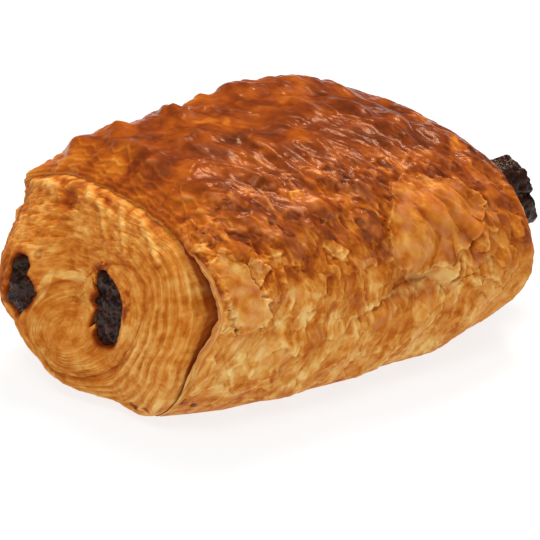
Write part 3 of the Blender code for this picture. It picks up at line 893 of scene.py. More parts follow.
def raised_flakes():
    """The solids' raised flakes, placed and seeded, as (x, turn, half length, half breadth, rise, slant)."""
    rows = []
    for x, turn, half_length, half_breadth, rise, slant in PLACED_FLAKES:
        rows.append((x, np.radians(turn), half_length, half_breadth, rise, np.radians(slant)))
    draw = np.random.default_rng(FLAKE_SEED)
    for _ in range(FLAKES):
        turn = draw.uniform(*FLAKE_TURNS)
        slant = np.interp(turn, FLAKE_LEAN_TURNS, FLAKE_LEANS) + draw.uniform(-1.0, 1.0) * FLAKE_LEAN_SPREAD
        rows.append((
            draw.uniform(NEAR_RIM + RIM_FADE, FAR_RIM - RIM_FADE),
            np.radians(turn),
            draw.uniform(*FLAKE_HALF_LENGTH),
            draw.uniform(*FLAKE_HALF_BREADTH),
            draw.uniform(*FLAKE_RISE),
            np.radians(slant),
        ))
    return rows


def top_relief(x, turn):
    """Broad waves and the long raised flakes."""
    bend = WAVE_BEND * np.sin(turn * WAVES_ROUND[0])
    relief = WAVE_RELIEF * np.sin(x * WAVES_ALONG[0] + bend)
    relief = relief * np.sin(turn * WAVES_ROUND[1] + x * WAVES_ALONG[1])
    for middle, middle_turn, half_length, half_breadth, rise, slant in raised_flakes():
        along = x - middle
        around = (turn - middle_turn) * GIRTH
        lengthwise = along * np.cos(slant) + around * np.sin(slant)
        crosswise = around * np.cos(slant) - along * np.sin(slant)
        relief = relief + rise * dome(lengthwise, crosswise, half_length, half_breadth)
    return relief


def ledge_level(x):
    return LEDGE_LEVEL + LEDGE_SLOPE * x + LEDGE_WANDER * np.sin(x * LEDGE_WAVES)


def front_relief(x, y, z):
    """The torn ledge along the front's foot, and the hollow above its far stretch."""
    front = ease(0.0, -FRONT_EASE, y)
    level = ledge_level(x)
    below = ease(level + LEDGE_STEP, level, z)
    above = ease(level + LEDGE_HOLLOW[1], level + LEDGE_HOLLOW[0], z) * (1.0 - below)
    reach = ease(LEDGE_START, LEDGE_START + LEDGE_EASE, x) * ease(LEDGE_STOP, LEDGE_STOP - LEDGE_EASE, x)
    ledge = LEDGE_DEPTH * reach * (below - LEDGE_HOLLOW_SHARE * above)
    hollow_x, hollow_z, half_x, half_z, depth = HOLLOW
    return front * (ledge - depth * dome(x - hollow_x, z - hollow_z, half_x, half_z))


def body_ring(x, turn):
    """The outer crust with the solids' relief pushed out across the roll."""
    y, z = section(x, turn)
    rims = ease(NEAR_RIM, NEAR_RIM + RIM_FADE, x) * ease(FAR_RIM, FAR_RIM - RIM_FADE, x)
    out_y, out_z = y, (z - CREST_LEVEL * crown(x)) * CREST_LEAN
    size = np.hypot(out_y, out_z)
    push = (top_relief(x, turn) + front_relief(x, y, z)) * rims * ease(0.0, BASE_FADE, z)
    return y + push * out_y / size, np.maximum(z + push * out_z / size, 0.0)


def outline_slope(x, turn):
    """Unit direction of the outline at x, round the turn."""
    step = 0.01
    y_after, z_after = section(x, turn + step)
    y_before, z_before = section(x, turn - step)
    along_y, along_z = y_after - y_before, z_after - z_before
    size = np.maximum(np.hypot(along_y, along_z), 1e-9)
    return along_y / size, along_z / size


def inset_section(x, turn, amount):
    """The outline at x drawn in by an amount, square to itself."""
    y, z = section(x, turn)
    slope_y, slope_z = outline_slope(x, turn)
    return y - amount * slope_z, z + amount * slope_y


def edge_sizes(turn, end):
    """The wrap's edge thickness, the gap beside it and the gap's depth; all but gone under the roll."""
    free = 1.0 - ease(*PRESSED_SINES, np.sin(turn))
    wide = 0.0
    for opening, spread, share in end["openings"]:
        wide = wide + share * bell(angle_between(turn, opening), 0.0, spread)
    free_edge = PRESSED_EDGE + (1.0 - PRESSED_EDGE) * free
    lip = LIP * free_edge
    gap = (GAP_NARROW + (GAP_WIDE - GAP_NARROW) * wide) * free_edge
    depth = (GAP_SHALLOW + (GAP_DEEP - GAP_SHALLOW) * wide) * free
    if end is NEAR_END:
        pinched = np.exp(-(angle_between(turn, PINCHED_TURN) / PINCHED_SPREAD) ** 4)
        whole = between(np.radians(WHOLE_LIP_TURNS), np.mod(turn, 2.0 * np.pi))
        thinned = (1.0 - LIP_SHARE) * (1.0 - pinched) * (1.0 - whole)
        gap = gap - (1.0 - NEAR_GAP_SHARE) * GAP_NARROW * free_edge * (1.0 - wide)
        gap = gap * (1.0 - PINCHED_GAP_LOSS * pinched) + thinned * lip
        depth = depth * (1.0 - PINCHED_DEPTH_LOSS * pinched)
        lip = lip * (1.0 - thinned)
    return lip, gap, depth


def round_lengths():
    """Turns and the millimetres round the middle outline from its crown, positive down the front."""
    turns = np.radians(np.linspace(-100.0, 330.0, 1500))
    y, z = section(0.0, turns)
    steps = np.hypot(np.diff(y), np.diff(z)) / MM
    lengths = np.concatenate([[0.0], np.cumsum(steps)])
    return turns, lengths - np.interp(np.pi / 2.0, turns, lengths)


ROUND_TURNS, ROUND_LENGTHS = round_lengths()
LEAN_S = np.linspace(-90.0, 120.0, 400)
LEAN_SUM = np.cumsum(np.interp(LEAN_S, LEAN_STOPS, LEAN_SLOPES)) * (LEAN_S[1] - LEAN_S[0])


def round_length(turn):
    return np.interp(turn, ROUND_TURNS, ROUND_LENGTHS)


def unleaned(x, s):
    """x in mm with the lean of the ridges taken out, so that a ridge keeps one value."""
    return x - (np.interp(s, LEAN_S, LEAN_SUM) - np.interp(0.0, LEAN_S, LEAN_SUM))


def stepped_share(turn):
    """Where the near edge comes down in steps: 1 over the top's front half, 0 elsewhere."""
    return between(np.radians(STEPPED_TURNS), turn)


def past_steps(x, s):
    """How far in mm a place lies past each torn step of the near edge."""
    away = []
    for number, place in enumerate(STEP_PLACES):
        torn = place
        for seed, size, depth, deeper in STEP_WAVES:
            torn = torn + (depth + deeper * place) * wavering(seed + number, size, s)
        away.append((x - NEAR_RIM) / MM - np.maximum(torn, FIRST_STEP))
    return away


def step_drop(x, turn):
    """How far in metres the steps bring the wrap's surface down near its near edge."""
    lowered = sum(ease(STEP_EDGE, -STEP_EDGE, away) for away in past_steps(x, round_length(turn)))
    return STEPPED_DROP * MM / len(STEP_PLACES) * stepped_share(turn) * lowered


def jagged(turn, end):
    """How far the torn edge strays along X in metres, with the hood that stands out at its upper left."""
    if end is not NEAR_END:
        return 0.0 * turn
    hood_turn, spread, stands_out = HOOD
    hood = stands_out * bell(angle_between(turn, hood_turn), 0.0, spread)
    s = round_length(turn)
    ragged = sum(depth * wavering(seed, size, s) for seed, size, depth in EDGE_WAVES)
    free = 1.0 - ease(*PRESSED_SINES, np.sin(turn))
    everywhere, stepped = EDGE_RAGGED
    return ragged * MM * free * (everywhere + stepped * stepped_share(turn)) - hood * MM


def coil_outline(turn, end):
    lip, gap, _ = edge_sizes(turn, end)
    return inset_section(end["rim"], turn, lip + gap)


def face_x(y, z, end):
    """Where an end face lies along X at a point of it, from its share of the way out to the coils' edge."""
    turn = np.linspace(0.0, 2.0 * np.pi, OUTLINE_POINTS, endpoint=False)
    edge_y, edge_z = coil_outline(turn, end)
    middle_y, middle_z = end["middle"]
    edge_angle = np.arctan2(edge_z - middle_z, edge_y - middle_y)
    edge_reach = np.hypot(edge_y - middle_y, edge_z - middle_z)
    angle = np.arctan2(z - middle_z, y - middle_y)
    reach = np.interp(angle, edge_angle, edge_reach, period=2.0 * np.pi)
    shift = np.interp(angle, edge_angle, rim_shift(turn, end), period=2.0 * np.pi)
    step = np.clip(np.hypot(y - middle_y, z - middle_z) / reach, 0.0, 1.0)
    full = 0.5 + 0.5 * np.cos(angle - FULL_TURN)
    follow = RIM_FOLLOW_POWER
    if end is NEAR_END:
        front_turn, spread, front_full = FRONT_FULL
        full = np.maximum(full, front_full * np.exp(-(angle_between(angle, front_turn) / spread) ** 2))
        follow = NEAR_FOLLOW_POWER
    power = SOFT_EDGE[0] + (FULL_EDGE[0] - SOFT_EDGE[0]) * full
    root = SOFT_EDGE[1] + (FULL_EDGE[1] - SOFT_EDGE[1]) * full
    push = end["dome"] * (1.0 - step ** power) ** root
    fade = ease(1.0, LOBE_FADE_STEP, step)
    for lobe_y, lobe_z, half_y, half_z, rise in end["lobes"]:
        push = push + fade * rise * dome(y - lobe_y, z - lobe_z, half_y, half_z)
    return end["rim"] + shift * step ** follow + end["side"] * push


def torn_edge(x, s, seed, length, breadth, level):
    """Signed distance in mm from the edge of a torn sheet, positive on the sheet."""
    seed_step, strength, wide, long = SHEET_DRIFT

    def field(at_x, at_s):
        drift = strength * noise(seed + seed_step, at_x / wide, at_s / long)
        return fractal(seed, 2, at_x / breadth + drift, at_s / length - drift)

    here = field(x, s)
    slope_x = (field(x + SHEET_STEP, s) - here) / SHEET_STEP
    slope_s = (field(x, s + SHEET_STEP) - here) / SHEET_STEP
    return np.clip((here - level) / (np.hypot(slope_x, slope_s) + LEAST_SLOPE), -SHEET_REACH, SHEET_REACH)


def edge_distance(x, s, start, stop):
    """Distance from the straight line between two places."""
    (x0, s0), (x1, s1) = start, stop
    edge_x, edge_s = x1 - x0, s1 - s0
    share = np.clip(((x - x0) * edge_x + (s - s0) * edge_s) / (edge_x ** 2 + edge_s ** 2), 0.0, 1.0)
    return np.hypot(x - x0 - share * edge_x, s - s0 - share * edge_s)


def line_distance(x, s, line):
    """Distance in mm from a drawn line."""
    nearest = np.full(x.shape, np.inf)
    for start, stop in zip(line, line[1:]):
        nearest = np.minimum(nearest, edge_distance(x, s, start, stop))
    return nearest


def inside_distance(x, s, outline):
    """Signed distance in mm from a drawn outline, positive inside it."""
    nearest = line_distance(x, s, outline + outline[:1])
    inside = np.zeros(x.shape, bool)
    for (x0, s0), (x1, s1) in zip(outline, outline[1:] + outline[:1]):
        if s1 != s0:
            inside ^= ((s0 > s) != (s1 > s)) & (x < x0 + (s - s0) * (x1 - x0) / (s1 - s0))
    return np.where(inside, nearest, -nearest)


def flat_line(line):
    """A line of (x, turn) on the crust's flat map."""
    return [(x, float(round_length(np.radians(turn)))) for x, turn in line]


def glaze_cover(x, s, turn):
    """Where the egg wash lies: 1 on top, ragged towards the front and the back."""
    border = round_length(np.radians(np.interp(x, GLAZE_X, GLAZE_TURNS)))
    back = round_length(np.radians(GLAZE_BACK_TURN))
    ragged = GLAZE_RAGGED * texture("glaze_edge", unleaned(x, s), s)
    below = ease(-GLAZE_EASE, GLAZE_EASE, s - border + ragged)
    return (1.0 - below) * ease(-GLAZE_EASE, GLAZE_EASE, s - back + ragged)


class CrustMap:
    """A stretch of the crust on its flat map in mm: its zones, and the noises that relief and tones share."""

    def __init__(self, x, s, turn, z):
        self.x, self.s, self.z = x, s, z
        self.across = unleaned(x, s)
        self.wander = WANDER * texture("wander", x, s)
        self.bent = self.across + self.wander
        self.glaze = glaze_cover(x, s, turn)
        self.front = ease(*FRONT_ZONE, s) + ease(*BACK_ZONE, s)
        self.shoulder = between(SHOULDER_ZONE, s)
        self.foot = ease(*FOOT_ZONE, z)
        self.upper = self.front * (1.0 - UPPER_LOSS * self.foot)
        self.smooth = self.glaze * (1.0 - self.shoulder)
        self.patchy = patches("patchy", x, s)
        self.scale = patches("scale", self.bent, s)
        self.ridge = crests("ridge", self.bent, s)
        self.streak = crests("streak", self.bent, s)
        self.blotch = texture("blotch", self.bent + self.wander, s)
        self.fleck = texture("fleck", self.bent, s)

    def away_from(self, x, turn):
        """How far each point lies from a place along the roll and round it."""
        return self.x - x, self.s - round_length(np.radians(turn))


def own_relief(crust):
    """The crust's waves, ridges, streaks, grain, blisters and scales, in mm."""
    s, bent, front = crust.s, crust.bent, crust.front
    foot_calm = 1.0 - RISE_LOSSES["foot"] * crust.foot
    back_calm = 1.0 - RISE_LOSSES["top_back"] * ease(*TOP_BACK_ZONE, s)
    waves = RISES["broad"] * texture("broad", bent, s) * back_calm
    waves = waves + (RISES["ridge"] - RISE_LOSSES["ridge_front"] * front) * crust.ridge
    relief = foot_calm * waves + RISES["streak"] * crust.upper * crust.streak
    relief = relief + RISES["fine"] * front * (crests("fine", bent, s) + texture("grain", crust.x, s))
    medium = texture("medium", bent, s) * (1.0 - RISE_LOSSES["medium_front"] * front)
    blistered = BLISTERS_EVERYWHERE + (1.0 - BLISTERS_EVERYWHERE) * crust.patchy
    blisters = patches("blister", bent, s) * (1.0 - front) * blistered
    relief = relief + RISES["medium"] * medium + RISES["blister"] * blisters
    return relief + RISES["scale"] * crust.scale * crust.shoulder


def lay_torn_sheets(crust, surface):
    """Adds the torn sheets, large ones first: steps, lifted edges, tones, and beside the edges a painted
    highlight, a painted shadow, painted shade and painted sheen.
    """
    s, front, glaze = crust.s, crust.front, crust.glaze
    softness = CRISP_EDGE + (SOFT_GLAZED_EDGE - CRISP_EDGE) * glaze
    rough = np.maximum(front, crust.shoulder)
    frontal = np.clip(front + UNGLAZED_LEVEL * (1.0 - glaze), 0.0, 1.0)
    seed_step, wide, long, start, whole = SHEET_LOOSE
    for seed, length, breadth, thickness, lift, tone, level_top, level_front in SHEETS:
        level = level_top + (level_front - level_top) * frontal
        edge = torn_edge(crust.across, s, seed, length, breadth, level)
        on = ease(-softness, softness, edge)
        loose = ease(start, whole, noise(seed + seed_step, crust.across / wide, s / long))
        small = ease(*SMALL_SHEET, thickness)
        shown = 1.0 - crust.smooth * (GLAZED_SHEETS_LOSS[0] + GLAZED_SHEETS_LOSS[1] * small)
        shown = shown * (1.0 - FOOT_SHEETS_LOSS * crust.foot) * (1.0 + front * (FRONT_SHEETS_GAIN - small))
        surface["relief"] += shown * (thickness + lift * loose * bell(edge, 0.0, LIFT_REACH)) * on
        surface["toast"] += tone * on * (1.0 - SHEET_TONE_LOSS * crust.smooth)
        # Painted highlight on each rim and painted shadow at each foot
        for (middle, half, strength, loss), sign in ((SHEET_RIM_HIGHLIGHT, -1.0), (SHEET_FOOT_SHADOW, 1.0)):
            shade = (strength - loss * front * small) * rough * loose * bell(edge, middle, half)
            surface["toast"] += sign * shade
        # Painted shade just outside the edge
        middle, half, strength, loss = SHEET_EDGE_SHADE
        painted_shade = (strength - loss * front) * loose * bell(edge, middle, half)
        surface["crease"] += painted_shade * (1.0 - GLAZED_SHADE_LOSS * glaze)
        # Painted sheen inside the edge, on the glazed shoulder
        middle, half, strength = SHEET_SHEEN
        surface["bloom"] += strength * loose * bell(edge, middle, half) * glaze * crust.shoulder


def raise_ridge_lines(crust, surface):
    for line, height, half in RIDGE_LINES:
        ragged = RIDGE_LINE_RAGGED * texture("ridge_line", crust.x, crust.s)
        away = line_distance(crust.x + ragged, crust.s + ragged, flat_line(line))
        narrow, strength = RIDGE_LINE_SHEEN
        surface["relief"] += height * bell(away, 0.0, half)
        # Painted sheen along each ridge's crest
        surface["bloom"] += strength * bell(away, 0.0, narrow * half)


def bake(crust, surface):
    """Browns the crust by its place on the roll, and then by its blotches, flecks, streaks and scales."""
    x, s, front, shoulder = crust.x, crust.s, crust.front, crust.shoulder
    near_top, paler = PALE_NEAR_TOP
    far_x, far_s, browner = BROWN_FAR_TOP
    base = np.interp(s, TOAST_S, TOAST_TONES) - paler * area(near_top, x, s)
    base = base + browner * ease(*far_x, x) * between(far_s, s)
    far_front, calmer = CALM_FAR_FRONT
    calmed = 1.0 - calmer * area(far_front, x, s)
    surface["toast"] += (BLOTCH_TONE[0] - BLOTCH_TONE[1] * front) * crust.blotch
    surface["toast"] += (FLECK_TONE[0] - FLECK_TONE[1] * crust.smooth) * crust.fleck
    surface["toast"] -= RIDGE_TONE[0] * (crust.ridge - RIDGE_TONE[1])
    surface["toast"] = base + calmed * surface["toast"]
    surface["crease"] *= calmed
    pale = patches("pale", crust.bent, s / (1.0 + PALE_LENGTHENS * crust.upper))
    surface["toast"] -= PALE_TONE * front * pale
    surface["toast"] -= STREAK_TONE[0] * front * crust.streak * (1.0 - STREAK_TONE[1] * crust.foot)
    surface["toast"] -= (SCALE_TONE[0] * shoulder + SCALE_TONE[1] * front) * (crust.scale - 0.5)
    # Painted pink sheen on the shoulder's scales and on the front
    pink = patches("pink", x, s)
    surface["bloom"] += (PINK_SHEEN[0] * shoulder * crust.scale + PINK_SHEEN[1] * front) * pink


def raise_blisters(crust, surface):
    height, half_length, half_breadth = BLISTER_SIZE
    for x, turn in BLISTERS:
        lean = np.radians(BLISTER_LEAN[0] + BLISTER_LEAN[1] * x)
        along_x, along_s = crust.away_from(x, turn)
        lengthwise = along_s * np.cos(lean) + along_x * np.sin(lean)
        crosswise = along_x * np.cos(lean) - along_s * np.sin(lean) + BLISTER_RAGGED * crust.fleck
        raised = np.exp(-(lengthwise / half_length) ** 2 - (crosswise / half_breadth) ** 2)
        surface["relief"] += height * raised
        # Painted highlight and painted sheen on the crest
        surface["toast"] -= BLISTER_HIGHLIGHT * raised ** 2
        surface["bloom"] += BLISTER_SHEEN * raised ** 3


def tone_marks(crust, surface):
    fleck_share, blotch_share = MARK_RAGGED
    sheen_share = (MARK_SHEEN[0] + MARK_SHEEN[1] * crust.scale) * ease(*MARK_SHEEN_FLECKS, crust.fleck)
    for x, turn, half_x, half_s, change, sheen in CRUST_MARKS:
        along_x, along_s = crust.away_from(x, turn)
        away = np.hypot(along_x / half_x, along_s / half_s)
        inside = ease(*MARK_EDGE, away + fleck_share * crust.fleck + blotch_share * crust.blotch)
        surface["toast"] += change * inside
        # Painted sheen over the marks' flecks
        surface["bloom"] += sheen * inside * sheen_share


def tear_front(crust, surface):
    """The torn lower edge of the upper sheet along the front, its pale rim and its shadow."""
    x, z, patchy = crust.x, crust.z, crust.patchy
    torn = z - np.interp(x, TEAR_X, TEAR_Z) + TEAR_RAGGED * texture("tear", x, 0.0 * x)
    reach = between(TEAR_STRETCH, x) * ease(*TEAR_FRONT, crust.s)
    step = ease(-TEAR_EDGE, TEAR_EDGE, torn) * ease(TEAR_HEIGHT, 0.0, torn)
    surface["relief"] += TEAR_RISE * reach * step
    for field, (middle, half, strength, everywhere) in (("toast", TEAR_RIM), ("crease", TEAR_SHADOW)):
        shown = everywhere + (1.0 - everywhere) * patchy
        surface[field] += strength * reach * bell(torn, middle, half) * shown


def cut_grooves(crust, surface):
    for line, depth, half, shade in GROOVE_LINES:
        ragged = GROOVE_RAGGED * texture("groove_line", crust.x, crust.s)
        away = line_distance(crust.x + ragged, crust.s - ragged, flat_line(line))
        surface["relief"] -= depth * bell(away, 0.0, half)
        # Painted shade in the groove
        surface["crease"] += shade * bell(away, 0.0, GROOVE_SHADE * half)


def burn_spots(crust, surface):
    for x, turn, half in BURNS:
        ragged = BURN_RAGGED * texture("burn", crust.x, crust.s)
        away = np.hypot(*crust.away_from(x, turn)) + ragged
        surface["toast"] += BURN_TONE * ease(half, BURN_CORE * half, away)


def lay_drawn_sheet(crust, surface, sheet):
    """Lays one drawn sheet on the surface: its step and lifted edge, tone, painted sheen, a pale rim painted
    as a highlight and a painted shadow.
    """
    outline, thickness, lift, tone, take, sheen, soft, rise = sheet
    x, s = crust.x, crust.s
    wavy = SHEET_RAGGED * texture("sheet_edge", x, s)
    edge = inside_distance(x + wavy, s - wavy, flat_line(outline))
    root, free = round_length(np.radians(rise))
    risen = ease(root, free, s)
    on = ease(-soft, soft, edge) * risen
    calm = ease(*DRAWN_CALM, edge) * take * ease(root - DRAWN_ABOVE_ROOT, free, s)
    raised = (thickness + lift * bell(edge, 0.0, LIFT_REACH)) * on
    own_tone = tone + DRAWN_BLOTCH * crust.blotch + DRAWN_FLECK * crust.fleck
    surface["relief"] = surface["relief"] * (1.0 - DRAWN_SMOOTHS * calm) + raised
    surface["toast"] += (own_tone - surface["toast"]) * calm
    # Painted highlight along the rim
    middle, half, strength = DRAWN_RIM_HIGHLIGHT
    unglazed = 1.0 - DRAWN_HIGHLIGHT_GLAZED_LOSS * crust.glaze
    surface["toast"] -= strength * on * unglazed * bell(edge, middle, half)
    # Painted shadow below the edge, then painted sheen over the sheet
    middle, half, strength = DRAWN_SHADOW
    shadow = bell(edge, middle, half) * risen * patches("sheet_shadow", x, s)
    surface["crease"] = surface["crease"] * (1.0 - calm) + strength * shadow
    surface["bloom"] = surface["bloom"] * (1.0 - calm) + sheen * patches("sheet_sheen", x, s) * calm


def shade_hollow(crust, surface):
    """The painted shade of the hollow, browner and greyed with the sheen colour, and the ledge's painted
    shadow; the solids already give both their form.
    """
    x, s, z, patchy = crust.x, crust.s, crust.z, crust.patchy
    hollow_x, hollow_z, half_x, half_z, _ = HOLLOW
    wide, high = SUNKEN_SIZE
    low = z * MM - hollow_z + SUNKEN_LEVEL
    sunken = dome(x * MM - hollow_x, low, wide * half_x, high * half_z) * ease(*SUNKEN_FRONT, s)
    above, half = LEDGE_SHADOW
    under = bell(z - ledge_level(x * MM) / MM, above, half) * between(LEDGE_STRETCH, x)
    under = under * ease(*SUNKEN_FRONT, s)
    painted_shade, brown, bloom = HOLLOW_SHADE
    ledge_dark, ledge_pale = LEDGE_TONES
    # Painted shade in the hollow and painted shadow under the ledge
    surface["crease"] = np.clip(surface["crease"] + painted_shade * sunken + ledge_dark * under * patchy, 0.0, 1.0)
    surface["toast"] += brown * sunken - ledge_pale * under * (1.0 - patchy)
    surface["bloom"] = np.clip(surface["bloom"] + bloom * sunken, 0.0, 1.0)


def crust_fields(x, s, turn, z):
    """Relief in mm of the crust, and its toast with painted highlights and shadows, glaze, painted shade,
    painted sheen and layers, from its flat map.
    """
    crust = CrustMap(x, s, turn, z)
    surface = {"relief": own_relief(crust), "toast": 0.0 * x, "crease": 0.0 * x, "bloom": 0.0 * x}
    surface["glaze"] = crust.glaze
    surface["layer"] = crust.bent + FOOT_LAYERS * z * crust.foot
    for step in (lay_torn_sheets, raise_ridge_lines, bake, raise_blisters, tone_marks,
                 tear_front, cut_grooves, burn_spots):
        step(crust, surface)
    surface["relief"] -= RELIEF_MEAN
    for sheet in DRAWN_SHEETS.values():
        lay_drawn_sheet(crust, surface, sheet)
    shade_hollow(crust, surface)
    return surface


def layered(seed, phase, y, z, finest):
    """Thin layer edges: crests that follow the phase and fade, fork and end along their way, 0 to 1."""
    total = 0.0
    whole = 0.0
    for number, (finer, reach, share) in enumerate(LAYER_NOISES):
        if finer > finest:
            continue
        place = noise(seed + 3 * number, y / reach, z / reach, phase * finer)
        crest = np.clip(1.0 - LAYER_SHARPNESS * np.abs(place), 0.0, 1.0) ** 1.5
        total = total + share * crest
        whole = whole + share
    return total / whole


def lip_sheets(share, s, seed):
    """The sheets' edges across the wrap's lip: how far each stands out in mm, and how deep its groove is."""
    count, drift, finest = LIP_LAYERS
    rise, sunk, groove = LIP_STRANDS
    strands = layered(seed, share * count, s, s * drift, finest)
    stands_out = rise * strands - sunk
    for step, across, around, height in LIP_RAGGED:
        stands_out = stands_out + height * noise(seed + step, share * across, s / around)
    return stands_out, np.clip(1.0 - groove * strands, 0.0, 1.0)


def unit_normals(points):
    """Unit normals of a grid of points."""
    normal = np.cross(np.gradient(points, axis=0), np.gradient(points, axis=1))
    return normal / np.maximum(np.linalg.norm(normal, axis=2, keepdims=True), 1e-12)


def grid_normals(points):
    """Unit normals of a grid of points, turned outwards from the roll's core."""
    normal = unit_normals(points)
    core = np.zeros(points.shape)
    core[..., 0] = np.clip(points[..., 0], CORE[0], CORE[1])
    core[..., 2] = CORE[2]
    return normal * np.sign(np.sum(normal * (points - core)))


def lip_path(rows, wall_rows):
    """Rows from the crust into the gap: how far across the lip, back, down the wall and over the floor."""
    path = []
    for angle in np.linspace(0.0, np.pi, rows, endpoint=False)[1:]:
        path.append((0.5 - 0.5 * np.cos(angle), 1.0 - np.sin(angle), 0.0, 0.0))
    for wall in np.linspace(0.0, 1.0, wall_rows):
        path.append((1.0, 1.0, wall, 0.0))
    for floor in FLOOR_SHARES:
        path.append((1.0, 1.0, 1.0, floor))
    return path


def lip_surface(across, wall, groove, mottle, turn, open_edge):
    """Surface values of one row of the lip, with painted shade in its grooves and on its wall and painted
    sheen on its tan stretch.
    """
    creamy = between(CREAMY_TURNS, np.degrees(turn))
    tan = between(TAN_TURNS, np.degrees(turn))
    grooved = groove - LIP_GROOVES_MEAN
    toned = {"mottle": mottle, "groove": grooved, "wall": wall * open_edge, "creamy": creamy}
    # Painted shade in the grooves between strands and down the gap's wall
    painted_shade = LIP_PAINTED_SHADE["groove"] * groove * (1.0 - wall)
    painted_shade = painted_shade + LIP_PAINTED_SHADE["wall"] * open_edge * ease(*LIP_WALL_SHADE, wall)
    start, whole, strength = LIP_SHEEN
    return {
        "toast": LIP_TOAST + sum(LIP_TONES[name] * value for name, value in toned.items()),
        "glaze": 0.0 * turn,
        "crease": np.clip(painted_shade, 0.0, 1.0),
        "bloom": strength * tan * (1.0 - wall) * ease(start, whole, mottle),
        "layer": across * LIP_LAYER_COUNT + 0.0 * turn,
    }


def lip_rows(turn, end, rows, wall_rows, seed):
    """Points of the lip and the gap's outer wall at one end, with their surface values."""
    lip, gap, depth = edge_sizes(turn, end)
    stepped = stepped_share(turn) if end is NEAR_END else 0.0 * turn
    deep = np.maximum(depth * (1.0 - stepped), LEAST_WALL * LIP_ROUND)
    edge = end["rim"] + rim_shift(turn, end) + jagged(turn, end)
    drop = STEPPED_DROP * MM * stepped
    s = round_length(turn)
    open_edge = ease(*LIP_OPEN, depth)
    points, surfaces = [], []
    for across, push, wall, floor in lip_path(rows, wall_rows):
        stands_out, groove = lip_sheets(np.full_like(turn, across), s, seed)
        back = LIP_ROUND * (push + (1.0 - push) * stepped) + (deep - LIP_ROUND) * wall
        out = stands_out * MM * lip / LIP * (1.0 - wall) * ease(0.0, LIP_START, across) * (1.0 - stepped)
        y, z = inset_section(end["rim"], turn, drop + across * (lip - drop) + gap * floor)
        points.append(np.stack([edge + end["side"] * (out - back), y, np.maximum(z, 0.0)], axis=-1))
        step, count, size = LIP_MOTTLE
        mottle = noise(seed + step, across * count + 0.0 * s, s / size)
        surfaces.append(lip_surface(across, wall, groove, mottle, turn, open_edge))
    return points, surfaces


def wrap_rows(turn, rows):
    """Rows of the wrap from its far rim to its near one: x before the rims stray, points and core places."""
    near_edge = NEAR_RIM + rim_shift(turn, NEAR_END)
    far_edge = FAR_RIM + rim_shift(turn, FAR_END)
    length = FAR_RIM - NEAR_RIM
    nominals, points, cores = [], [], []
    for share in np.linspace(1.0 - LIP_ROUND / length, LIP_ROUND / length, rows):
        nominal = np.full_like(turn, NEAR_RIM + length * share)
        fade = ease(JAG_FADE, 0.0, length * share / MM)
        x = near_edge + (far_edge - near_edge) * share + jagged(turn, NEAR_END) * fade
        y, z = body_ring(nominal, turn)
        slope_y, slope_z = outline_slope(nominal, turn)
        lowered = step_drop(nominal, turn)
        nominals.append(nominal)
        points.append(np.stack([x, y - lowered * slope_z, z + lowered * slope_y], axis=-1))
        cores.append(CORE[0] + (CORE[1] - CORE[0]) * share)
    return np.array(nominals), points, cores


def shade_steps(surface, x, s, turn):
    """The pale rims and the shadows of the torn steps at the near edge."""
    stepped = stepped_share(turn)
    for away in past_steps(x, s):
        middle, half, strength = STEP_RIM
        surface["toast"] -= strength * stepped * bell(away, middle, half)
        middle, half, strength = STEP_SHADOW
        surface["crease"] += strength * stepped * bell(away, middle, half)
    surface["crease"] = np.clip(surface["crease"], 0.0, 1.0)


def tucked(points, turn):
    """Where a patch's border first goes: near the ends inside the wrap, behind the gap's floor."""
    inside = points.copy()
    for end in (NEAR_END, FAR_END):
        lip, _, _ = edge_sizes(turn, end)
        y, z = inset_section(end["rim"], turn, 0.5 * lip)
        behind_x = end["rim"] - end["side"] * TUCK_DEPTH
        close = end["side"] * (points[..., 0] - behind_x) > 0.0
        place = np.stack([np.full_like(turn, behind_x), y, np.maximum(z, 0.0)], axis=-1)
        inside[close] = np.broadcast_to(place, points.shape)[close]
    return inside


def grid_piece(name, points, fields):
    """A grid primitive shaped to the points, with a value of each field at every vertex."""
    rows, columns = points.shape[:2]
    bpy.ops.mesh.primitive_grid_add(x_subdivisions=columns - 1, y_subdivisions=rows - 1, size=1.0)
    piece = bpy.context.object
    piece.name = name
    piece.data.name = name
    piece.data.vertices.foreach_set("co", points.astype(np.float32).ravel())
    for field, values in fields.items():
        attribute = piece.data.attributes.new(field, "FLOAT", "POINT")
        attribute.data.foreach_set("value", values.astype(np.float32).ravel())
    return piece


def draw_in(piece, goal, keep):
    """Moves the vertices after the kept ones to the places in an attribute."""
    data = piece.data
    place = np.empty(len(data.vertices) * 3, np.float32)
    data.vertices.foreach_get("co", place)
    wanted = np.empty(len(data.vertices) * 3, np.float32)
    data.attributes[goal].data.foreach_get("vector", wanted)
    place[3 * keep:] = wanted[3 * keep:]
    data.vertices.foreach_set("co", place)
    data.attributes.remove(data.attributes[goal])
    data.update()


def finish_shape(piece):
    """Turns the faces outwards and smooths them."""
    bpy.ops.object.mode_set(mode="EDIT")
    bpy.ops.mesh.select_all(action="SELECT")
    bpy.ops.mesh.normals_make_consistent(inside=False)
    bpy.ops.mesh.select_all(action="DESELECT")
    bpy.ops.object.mode_set(mode="OBJECT")
    bpy.ops.object.shade_smooth()
    piece.select_set(False)
    return piece


